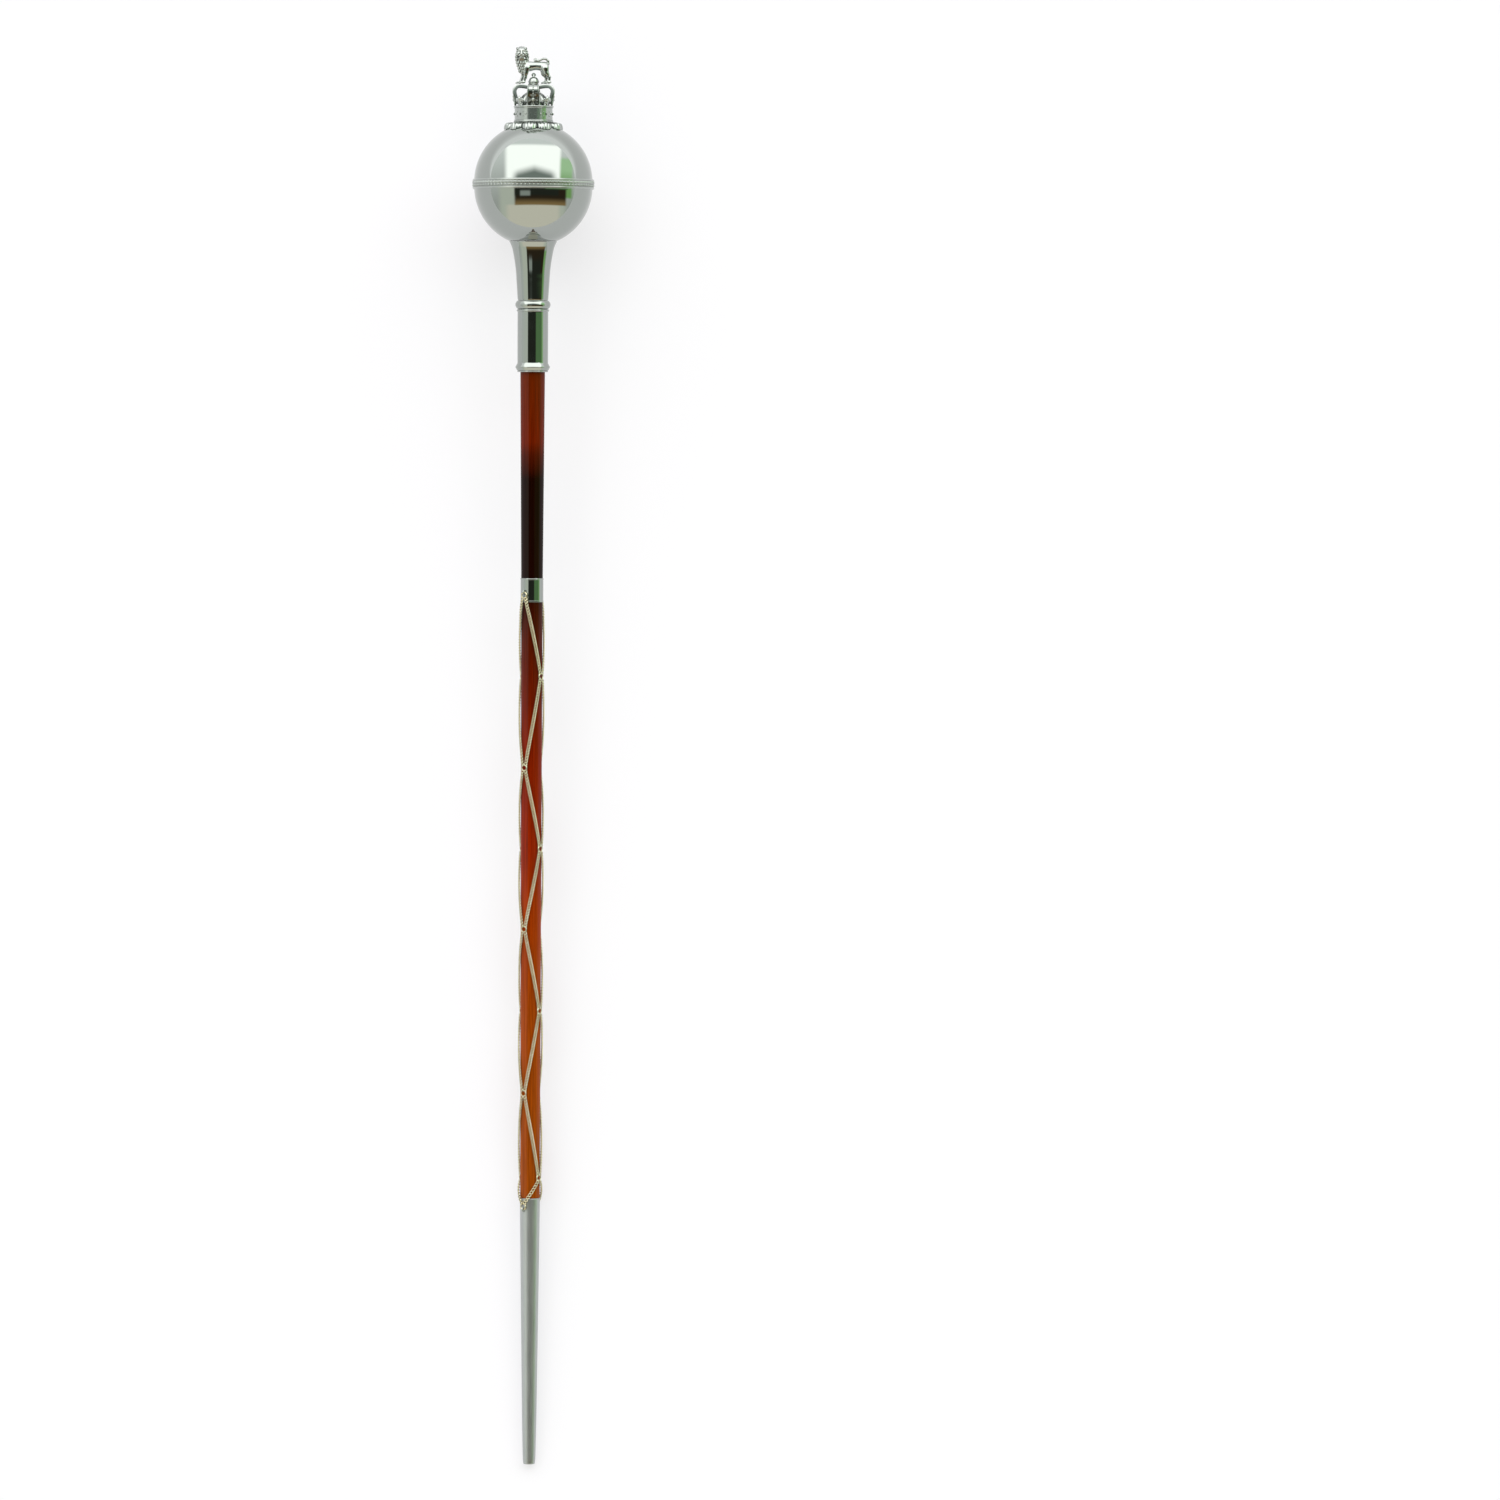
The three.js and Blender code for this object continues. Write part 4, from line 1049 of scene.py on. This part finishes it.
def cross_pattee():
    """Splayed cross with hollowed arms, a raised edge and a pearl in the middle."""
    clay = Clay((-6.2, -2.0, -0.4), (6.2, 11.6, 3.4), 0.24)
    middle, half, depth = 5.8, 0.75, 1.0

    def outline(x, y):
        u, v = np.abs(x), np.abs(y - middle)
        along, off = np.maximum(u, v), np.minimum(u, v)
        return np.maximum((off - 0.9 - 0.085 * along ** 2) * 0.8, along - np.where(u > v, 5.3, 4.9))

    def body(x, y, z):
        return np.maximum(outline(x, y), np.abs(z - depth) - half)

    def rim(x, y, z):
        return np.maximum(np.abs(outline(x, y) + 0.45) - 0.42, np.abs(z - depth) - half - 0.5)

    clay.blend(body, (-5.4, 0.8, 0.2), (5.4, 10.8, 1.8), 0.2)
    clay.blend(rim, (-5.4, 0.8, 0), (5.4, 10.8, 2.4), 0.25)
    clay.rod((-2.8, -0.6, 0.9), (2.8, -0.6, 0.9), 1.1, 1.1, soft=0.4, flat=0.8)
    clay.rod((0, -0.6, 0.9), (0, 2.2, 0.9), 1.7, 1.3, soft=0.4, flat=0.6)
    clay.egg((0, middle, 1.6), (1.5, 1.5, 1.3), soft=0.15)
    return clay.skin(smoothing=1)


def lily():
    """Fleur-de-lis: a pointed middle petal, two curled side petals and a band."""
    clay = Clay((-6.4, -2.2, -0.6), (6.4, 12.0, 3.4), 0.24)
    clay.strand([(0, -1, 1), (0, 3.4, 1.1), (0, 7.0, 1.3), (0, 10.4, 1.1)], [1.2, 1.4, 2.1, 0.4],
                soft=0.6, flat=0.8)
    clay.rod((0, 5.0, 2.2), (0, 9.0, 2.2), 0.25, 0.2, soft=0.3)
    for side in (-1, 1):
        clay.strand([(0, 2.4, 1), (side * 2.5, 5.2, 1.1), (side * 4.0, 6.5, 1.3),
                     (side * 5.0, 5.3, 1.4), (side * 4.4, 3.9, 1.2)],
                    [0.9, 1.3, 1.25, 1.05, 0.65], soft=0.4, flat=0.9)
        clay.strand([(0, 2.2, 1), (side * 1.7, 0.8, 1), (side * 2.6, -0.8, 1)], [0.8, 0.8, 1.0],
                    soft=0.5, flat=0.85)
    clay.rod((-1.9, 2.6, 1.6), (1.9, 2.6, 1.6), 0.75, 0.75, soft=0.15)
    return clay.skin(smoothing=1)


def arch_stations(angle):
    """(share of the way, middle, way straight out) at each station up a half arch."""
    middles = [around(radius, y, angle) for radius, y in curve_through(ARCH_PATH, 9)]
    sideways = around(1, 0, angle + math.pi / 2)
    last = len(middles) - 1
    stations = []
    for i, middle in enumerate(middles):
        ahead = (middles[min(i + 1, last)] - middles[max(i - 1, 0)]).normalized()
        stations.append((i / last, middle, sideways.cross(ahead)))
    return stations


def half_arch(angle):
    """Half arch from a cross over to the middle: a shallow channel between two raised rails."""
    section = [(0, ARCH_CHANNEL), *ARCH_RAIL, (0, -0.8), *((-u, v) for u, v in reversed(ARCH_RAIL))]
    sideways = around(1, 0, angle + math.pi / 2)
    stations = arch_stations(angle)
    points = []
    for t, middle, outwards in stations:
        half_width = ARCH_HALF_WIDTH * (1 - ARCH_TAPER * t * t)
        for u, v in section:
            points.append(middle + sideways * u * half_width + outwards * v * ARCH_HALF_THICKNESS)
    faces = strip_faces(len(stations), len(section))
    faces.append(tuple(range(len(section))))
    faces.append(tuple(reversed(range(len(points) - len(section), len(points)))))
    return facing_out(new_mesh(points, faces))


def arch_pearls(angle):
    """(point, radius) of a row of pearls down the middle of a half arch."""
    seat = ARCH_CHANNEL * ARCH_HALF_THICKNESS + 0.15
    return [(middle + outwards * seat, 0.85) for t, middle, outwards in arch_stations(angle)[16:-12:4]]


def studs_tree():
    """Round studs set on given points, each scaled by the point's own size."""
    tree, given = node_tree("studs", ("Finish", "Material"))
    points = add(tree, "GeometryNodeMeshToPoints", {"Mesh": given["Geometry"]})
    size = add(tree, "GeometryNodeInputNamedAttribute", {"Name": "size"}, data_type="FLOAT")
    ball = add(tree, "GeometryNodeMeshUVSphere", {"Segments": 14, "Rings": 9, "Radius": 1.0})
    studs = add(tree, "GeometryNodeInstanceOnPoints", {"Points": points, "Instance": ball,
                                                       "Scale": size})
    return finish_tree(tree, given, studs)


def stud_mesh(spots):
    """Mesh of round studs at (point, radius) spots."""
    seeds = bpy.data.meshes.new("stud_seeds")
    seeds.from_pydata([tuple(p) for p, r in spots], [], [])
    size = seeds.attributes.new("size", "FLOAT", "POINT")
    size.data.foreach_set("value", [r for p, r in spots])
    carrier = scratch_object("stud_seeds", seeds)
    attach(carrier, studs_tree(), Finish=CASTING)
    return to_plain_mesh(carrier, [])


def jewel(width, height, corner):
    """Set stone for the circlet: a bevelled block in a raised collet."""
    build = bmesh.new()
    for grow, out, lift in ((0.7, 1.3, 0.0), (0.0, 1.2, 0.55)):
        made = bmesh.ops.create_cube(build, size=1.0)["verts"]
        for vertex in made:
            vertex.co.x *= width + grow
            vertex.co.y *= height + grow
            vertex.co.z = vertex.co.z * out + lift
    bmesh.ops.bevel(build, geom=build.edges[:], offset=corner, segments=3, affect="EDGES")
    mesh = bpy.data.meshes.new("jewel")
    build.to_mesh(mesh)
    build.free()
    return mesh


def circlet():
    inner = CIRCLET_RADIUS - 2.4
    low, high = CIRCLET_BOTTOM, CIRCLET_TOP
    r = CIRCLET_RADIUS
    profile = [
        (inner, low),
        (r, low),
        *arc(r - 0.25, low + 0.9, 0.8, -80, 80, 10),
        (r - 0.15, low + 1.85),
        *arc(r - 0.25, low + 2.35, 0.4, -60, 60, 6),
        (r - 0.45, low + 2.9),
        (r - 0.45, high - 3.1),
        *arc(r - 0.25, high - 2.6, 0.4, -60, 60, 6),
        (r - 0.15, high - 2.1),
        *arc(r - 0.2, high - 1.0, 0.95, -75, 70, 10),
        (r - 0.3, high),
        (inner, high),
        (inner, low),
    ]
    return turned(profile, 160)


def cap():
    """Domed cap inside the arches, gathered into soft pleats like cloth, and its stem."""
    rim = CIRCLET_RADIUS - 2.2
    inside = CAP_RADIUS - CAP_WALL
    profile = [(0, CAP_FOOT_Y + inside), *reversed(arc(0, CAP_FOOT_Y, inside, 0, 86, 10)),
               (inside, CAP_FOOT_Y - 1.5), (rim, CAP_FOOT_Y - 1.5), (rim, CAP_FOOT_Y),
               *arc(0, CAP_FOOT_Y, CAP_RADIUS, 0, 86, 24), (0, CAP_FOOT_Y + CAP_RADIUS)]
    dome = turned(profile, 192)
    for vertex in dome.vertices:
        angle = math.atan2(vertex.co.x, vertex.co.z)
        rise = max(vertex.co.y - CAP_FOOT_Y, 0) / CAP_RADIUS
        fold = (1 - math.cos(CAP_PLEATS * angle)) * math.sin(math.pi * min(rise, 1))
        pleat = 1 - CAP_PLEAT_DEPTH * fold
        vertex.co.x *= pleat
        vertex.co.z *= pleat
    foot = CAP_FOOT_Y + CAP_RADIUS - 0.8
    stem = turned([(0, foot), (3, foot), (2.6, foot + 1.4), (3, CAP_STEM_TOP), (0, CAP_STEM_TOP)], 40)
    # Painted shade: the cap inside the arches is darkened all over, and more in its pleats.
    set_recess(dome, recess_values(shade_hollows(dome, 0.2)) + 0.25)
    return [dome, stem]


def orb_and_cross():
    hub = turned([(0, 1477.4), (2.8, 1477.6), (4.4, 1478.8), (4.9, 1480.2), (4.2, 1481.2), (4.6, 1482),
                  (4.4, 1482.6), (0, 1482.8)], 48)
    profile = [(0, ORB_Y - ORB_RADIUS), *arc(0, ORB_Y, ORB_RADIUS, -85, -8, 16),
               *arc(ORB_RADIUS - 0.25, ORB_Y, 0.8, -50, 50, 8),
               *arc(0, ORB_Y, ORB_RADIUS, 8, 85, 16), (0, ORB_Y + ORB_RADIUS)]
    orb = turned(profile, 64)
    clay = Clay((-3.2, ORB_Y + 4.4, -1.8), (3.2, ORB_Y + 9.8, 1.8), 0.14)
    middle = ORB_Y + 7.5
    clay.rod((0, ORB_Y + 5, 0), (0, middle, 0), 1.3, 0.75, soft=0.3)
    for turn in range(4):
        a = math.pi / 2 * turn
        for spread in (-0.45, 0, 0.45):
            tip = (1.85 * math.cos(a + spread), middle + 1.6 * math.sin(a + spread), 0)
            clay.rod((0, middle, 0), tip, 0.45, 0.62, soft=0.25)
    return [hub, orb, clay.skin(smoothing=1)]


def make_crown():
    pieces = [circlet(), *cap(), *orb_and_cross()]
    middle = (CIRCLET_BOTTOM + CIRCLET_TOP) / 2
    spots = []
    for quarter in range(4):
        angle = quarter * math.pi / 2
        between = angle + math.pi / 4
        # The crosses and lilies carry painted shade in their hollows.
        pieces += [
            wrapped(shade_hollows(cross_pattee(), 0.3), angle, CREST_INSET, CIRCLET_TOP, CREST_LEAN),
            wrapped(shade_hollows(lily(), 0.3), between, CREST_INSET, CIRCLET_TOP, CREST_LEAN),
            half_arch(angle),
            wrapped(jewel(6.4, 2.2, 0.3), angle, JEWEL_INSET, middle),
            wrapped(jewel(2.6, 3.2, 0.7), between, JEWEL_INSET, middle),
        ]
        for side in (-1, 1):
            for rise, degrees, radius in ((0, 23, 0.95), (2.2, 33, 0.6), (-2.2, 33, 0.6)):
                turn = angle + side * math.radians(degrees)
                spots.append((around(CIRCLET_RADIUS - 0.2, middle + rise, turn), radius))
        spots += arch_pearls(angle)
    pieces.append(stud_mesh(spots))
    place("crown", joined_mesh(pieces), CASTING, sharp=40)


# ---------------------------------------------------------------- lion


def lion_trunk(clay):
    """Chest, belly and haunches."""
    clay.eggs([
        (-8.5, 1502.0, 0, 5.4, 6.3, 5.2),
        (-3.5, 1502.2, 0, 5.2, 5.2, 4.6),
        (2.5, 1502.6, 0, 6.0, 4.5, 4.2),
        (8.5, 1502.2, 0, 5.6, 4.9, 4.5),
        (12.6, 1501.8, 0, 3.8, 5.0, 4.4),
    ], soft=2.2)
    for side in (-1, 1):
        clay.egg((-7.4, 1501.2, side * 3.4), (3.1, 4.6, 2.2), soft=1.0)
        clay.egg((11.8, 1500.4, side * 2.9), (4.1, 4.9, 2.4), soft=1.0)


def lion_leg(clay, joints, radii, paw_x, z):
    """One leg down its joints, and a paw of four toes with claws."""
    clay.strand([(x, y, z) for x, y in joints], radii, soft=1.1, flat=0.85)
    sole = LION_FOOT_Y + 1.35
    clay.egg((paw_x + 1.2, sole + 0.35, z), (2.5, 1.5, 2.0), soft=0.7)
    for i in range(4):
        spread = (i - 1.5) * 1.05
        toe = paw_x - 1.9 + 0.28 * abs(spread)
        clay.egg((toe, sole - 0.1, z + spread), (1.15, 1.05, 0.62), soft=0.18)
        clay.rod((toe - 0.8, sole - 0.2, z + spread), (toe - 1.5, sole - 0.85, z + spread), 0.28, 0.12,
                 soft=0.15)


def lion_legs(clay):
    ankle = LION_FOOT_Y + 2.4
    lion_leg(clay, [(-7.6, 1500), (-8.2, 1495.2), (-8.9, 1490.2), (-10.4, ankle)],
             [3.3, 2.4, 1.65, 1.5], -12.6, LION_LEG_Z)
    lion_leg(clay, [(-10.6, 1500), (-11.2, 1495), (-12.2, 1490), (-14.4, ankle)],
             [3.2, 2.2, 1.55, 1.4], -16.6, -LION_LEG_Z)
    lion_leg(clay, [(12.4, 1500), (13.6, 1494.8), (16.9, 1490.4), (16.4, ankle)],
             [3.9, 2.7, 1.5, 1.45], 15.3, LION_LEG_Z)
    lion_leg(clay, [(9.6, 1499.4), (10.4, 1494.4), (13.6, 1490), (12.4, ankle)],
             [3.5, 2.5, 1.5, 1.4], 10.8, -LION_LEG_Z)


def lion_mane_mass(clay):
    clay.eggs([
        (-12.4, 1497.8, 0.6, 2.8, 4.6, 3.2),
        (-12.4, 1503.5, 0.6, 4.8, 5.2, 4.7),
        (-12.3, 1509.5, 0.4, 6.0, 5.6, 5.2),
        (-12.6, 1515.2, 0.2, 5.9, 6.0, 5.0),
        (-12.9, 1519.2, 0.4, 4.7, 3.9, 4.1),
    ], soft=1.6)


def mane_radius(y):
    """Half width and half depth of the mane's mass at a height."""
    heights = (1494, 1499, 1504, 1510, 1515, 1519, 1522.4)
    wide = np.interp(y, heights, (2.6, 4.0, 5.6, 6.9, 6.7, 5.3, 3.0))
    deep = np.interp(y, heights, (3.0, 4.2, 5.4, 6.1, 5.9, 4.9, 2.8))
    return float(wide), float(deep)


def lion_mane_locks(clay):
    """Rows of pointed locks that lap downwards over the chest and shoulders."""
    rows = (1522.4, 1519.8, 1516.9, 1513.8, 1510.6, 1507.4, 1504.2, 1501.2, 1498.4)
    spacing = 2.5
    for row, y in enumerate(rows):
        wide, deep = mane_radius(y)
        count = max(8, round(math.pi * (wide + deep) / spacing))
        drop = 3.3 if y < 1521 else 2.2
        low_wide, low_deep = mane_radius(y - drop)
        for i in range(count):
            a = 2 * math.pi * (i + 0.5 * (row % 2)) / count
            if math.cos(a) > 0.45 and y > 1508.5:
                continue  # the face looks out here
            sway = 0.7 * math.sin(3.1 * i + 1.7 * row)
            path = []
            for share, lift in ((0, -0.7), (0.55, 0.1), (1, 0.1)):
                out_x = wide + (low_wide - wide) * share + lift
                out_z = deep + (low_deep - deep) * share + lift
                turn = a + sway * share * share / out_x
                path.append((LION_HEAD_X + 0.4 + out_x * math.sin(turn), y - drop * share,
                             0.4 + out_z * math.cos(turn)))
            clay.strand(path, [1.0, 0.9, 0.35], soft=0.16)


def lion_face(clay):
    """Broad face turned to the front."""
    x = LION_HEAD_X
    clay.egg((x, 1516.4, 3.4), (4.9, 5.4, 4.6), soft=0.8)
    clay.egg((x, 1519.4, 4.6), (3.9, 2.6, 3.2), soft=0.8)
    clay.rod((x, 1519.2, 7.0), (x, 1515.2, 9.0), 1.15, 1.15, soft=0.7)
    clay.egg((x, 1514.9, 9.5), (1.55, 0.85, 0.85), soft=0.3)
    clay.egg((x, 1511.6, 7.6), (1.8, 1.3, 1.6), soft=0.5)
    for side in (-1, 1):
        clay.egg((x + side * 3.2, 1515.2, 5.9), (1.9, 2.5, 2.0), soft=0.8)
        clay.egg((x + side * 1.35, 1513.5, 8.5), (1.65, 1.35, 1.5), soft=0.4)
        clay.egg((x + side * 2.5, 1517.6, 8.1), (1.35, 0.95, 1.1), soft=0.5, cut=True)
        clay.egg((x + side * 2.45, 1517.6, 6.9), (0.95, 0.75, 0.75), soft=0.12)
        clay.rod((x + side * 1.1, 1519.0, 7.7), (x + side * 3.9, 1518.9, 6.5), 0.6, 0.45, soft=0.35)
        clay.rod((x + side * 1.6, 1516.6, 7.6), (x + side * 3.5, 1516.8, 6.6), 0.35, 0.3, soft=0.3)
        clay.rod((x + side * 0.55, 1514.7, 10.2), (x + side * 0.9, 1514.8, 9.9), 0.22, 0.22,
                 soft=0.15, cut=True)
        clay.rod((x, 1512.4, 9.9), (x + side * 2.5, 1511.7, 8.3), 0.28, 0.22, soft=0.2, cut=True)
        clay.egg((x + side * 4.5, 1520.9, 2.4), (1.5, 1.7, 1.0), soft=0.4)
        clay.egg((x + side * 4.7, 1520.8, 3.2), (0.85, 1.0, 0.7), soft=0.3, cut=True)
    clay.rod((x, 1514.2, 10.2), (x, 1512.6, 10.0), 0.2, 0.2, soft=0.15, cut=True)


def lion_beard(clay):
    """Beard and the locks that frame the face."""
    x = LION_HEAD_X
    for i in range(5):
        a = (i - 2) * 0.9
        clay.rod((x + a, 1510.8, 6.9), (x + a * 1.25, 1507.6, 6.6), 0.85, 0.35, soft=0.3)
    for side in (-1, 1):
        for i in range(6):
            y = 1520.4 - 2.1 * i
            out = 4.5 + 0.5 * math.sin(math.pi * i / 5)
            clay.rod((x + side * out, y, 4.4), (x + side * (out + 0.7), y - 2.6, 4.6), 0.95, 0.4,
                     soft=0.28)
    for i in range(5):
        a = (i - 2) * 1.5
        clay.rod((x + a, 1521.6 - 0.12 * a * a, 3.6), (x + a * 1.25, 1523.1 - 0.2 * a * a, 2.2), 0.7,
                 0.6, soft=0.3)


def lion_tail(clay):
    clay.strand([(13.8, 1502.4, 0), (15.5, 1505.0, 0), (15.3, 1508.0, 0.2), (13.0, 1510.0, 0.5),
                 (10.2, 1510.2, 0.8), (7.4, 1509.0, 1.0), (4.6, 1507.9, 1.1)],
                [1.7, 1.4, 1.3, 1.25, 1.2, 1.2, 1.3], soft=0.5)
    for dx, dy, dz in ((-4.8, 0.9, 0.2), (-4.4, 2.3, 0), (-2.8, 2.9, 0.2), (-4.4, -0.6, 0.4)):
        clay.rod((4.9, 1508.0, 1.1), (4.9 + dx, 1508.0 + dy, 1.1 + dz), 1.3, 0.45, soft=0.3)


def make_lion():
    clay = Clay((-22, LION_FOOT_Y - 1.5, -9), (21.5, 1526, 12.5), LION_CELL)
    for shape in (lion_trunk, lion_legs, lion_mane_mass, lion_mane_locks, lion_face, lion_beard,
                  lion_tail):
        shape(clay)
    # Painted shade in the lion's hollows, between the locks and under the body.
    place("lion", shade_hollows(clay.skin(smoothing=2), 0.45, passes=16), CASTING, sharp=180)


# ---------------------------------------------------------------- studio


def make_floor():
    reach = 40.0
    corners = [(-reach, -reach, 0), (reach, -reach, 0), (reach, reach, 0), (-reach, reach, 0)]
    mesh = new_mesh(corners, [(0, 1, 2, 3)])
    mesh.materials.append(light_table())
    scratch_object("floor", mesh)


def make_studio_light():
    """White studio seen by the chrome: pale walls, a bright diffuser over the head end, plants on
    one side, and a dark doorway and a bench below the lens. Everything is placed by how far a
    mirror leans, across (u) and along (v) the mace, when it shows that direction from above."""
    world = bpy.data.worlds.new("studio")
    world.use_nodes = True
    bpy.context.scene.world = world
    tree = world.node_tree
    tree.nodes.clear()
    way = add(tree, "ShaderNodeTexCoord")
    halfway = add(tree, "ShaderNodeVectorMath", {0: way, 1: (0, 0, 1)}, operation="ADD")
    facing = add(tree, "ShaderNodeVectorMath", {0: halfway}, operation="NORMALIZE")
    part = add(tree, "ShaderNodeSeparateXYZ", {"Vector": facing}).outputs
    u, v = part["X"], part["Y"]

    def share(value, start, end):
        return add(tree, "ShaderNodeMapRange", {"Value": value, "From Min": start, "From Max": end},
                   interpolation_type="SMOOTHSTEP")

    def times(first, *others):
        for other in others:
            first = add(tree, "ShaderNodeMath", {0: first, 1: other}, operation="MULTIPLY")
        return first

    def over(factor, below, colour):
        return add(tree, "ShaderNodeMix", {"Factor": factor, "A": below, "B": colour}, data_type="RGBA")

    wall = over(share(v, -0.4, 0.7), (0.74, 0.77, 0.73, 1), (1.47, 1.52, 1.5, 1))
    leafy = over(share(v, -0.1, 0.22), (0.36, 0.7, 0.23, 1), (0.85, 1.3, 0.75, 1))
    brown = over(share(v, -0.2, -0.33), (0.05, 0.035, 0.02, 1), (0.48, 0.31, 0.13, 1))
    ground, bench = (0.98, 1.03, 0.89, 1), (1.24, 1.17, 0.99, 1)
    doorway, glint = (0.035, 0.04, 0.03, 1), (0.5, 0.55, 0.5, 1)
    bushes, diffuser = (0.17, 0.34, 0.14, 1), (2.7, 2.7, 2.65, 1)
    figure_tone, figure_u, figure_slope = (0.38, 0.44, 0.4, 1), 0.03, 0.27
    # Colour, then left, right, low and high edge, each as where it is clear and where it is full.
    zones = (
        (ground, (-0.62, -0.5), (0.62, 0.5), (-0.9, -0.8), (0.04, -0.06)),
        (bench, (-0.5, -0.38), (0.5, 0.4), (-0.9, -0.8), (-0.3, -0.35)),
        (leafy, (0.42, 0.47), (0.69, 0.63), (-0.23, -0.18), (0.43, 0.35)),
        (brown, (-0.33, -0.28), (0.59, 0.54), (-0.35, -0.32), (0.02, -0.014)),
        (doorway, (-0.32, -0.28), (0.46, 0.42), (-0.2, -0.15), (0.01, -0.012)),
        (glint, (-0.23, -0.19), (-0.02, -0.06), (-0.2, -0.16), (-0.07, -0.12)),
        (bushes, (0.18, 0.24), (0.61, 0.57), (-0.08, -0.05), (0.01, -0.01)),
        (diffuser, (-0.5, -0.4), (0.49, 0.42), (0.0, 0.06), (0.63, 0.57)),
    )
    tone = wall  # each zone is laid over those before it
    for colour, left, right, low, high in zones:
        inside = times(share(u, *left), share(u, *right), share(v, *low), share(v, *high))
        tone = over(inside, tone, colour)
    shifted = add(tree, "ShaderNodeMath", {0: u, 1: figure_u}, operation="SUBTRACT")
    aside = add(tree, "ShaderNodeMath", {0: shifted}, operation="ABSOLUTE")
    lean = add(tree, "ShaderNodeMath", {0: aside, 1: figure_slope, 2: v}, operation="MULTIPLY_ADD")
    figure = times(share(lean, 0.3, 0.12), share(aside, 0.42, 0.26), share(v, -0.012, 0.01))
    light = add(tree, "ShaderNodeBackground", {"Color": over(figure, tone, figure_tone), "Strength": 1.0})
    add(tree, "ShaderNodeOutputWorld", {"Surface": light})
    bpy.context.scene.view_settings.view_transform = "Standard"


def make_camera():
    """Straight above the lying mace, which lies left of the middle of the picture and a quarter of
    a degree out of upright."""
    picture_height = 1.606
    aim_x, aim_y, roll = 0.2347, 0.0093, 0.0045
    data = bpy.data.cameras.new("camera")
    data.lens = 200.0
    data.sensor_width = 36.0
    data.clip_end = 200
    camera = scratch_object("camera", data)
    middle = (cad_low + cad_high) / 2
    distance = picture_height / 2 / (data.sensor_width / 2 / data.lens)
    camera.location = (aim_x, middle.y + aim_y, middle.z + distance)
    camera.rotation_euler = (0, 0, roll)
    bpy.context.scene.camera = camera


make_cane()
make_chain_collar()
make_ferrule()
make_chain_net()
make_neck()
make_ball()
make_strap()
make_leaf_collar()
make_crown()
make_lion()
make_floor()
make_studio_light()
make_camera()
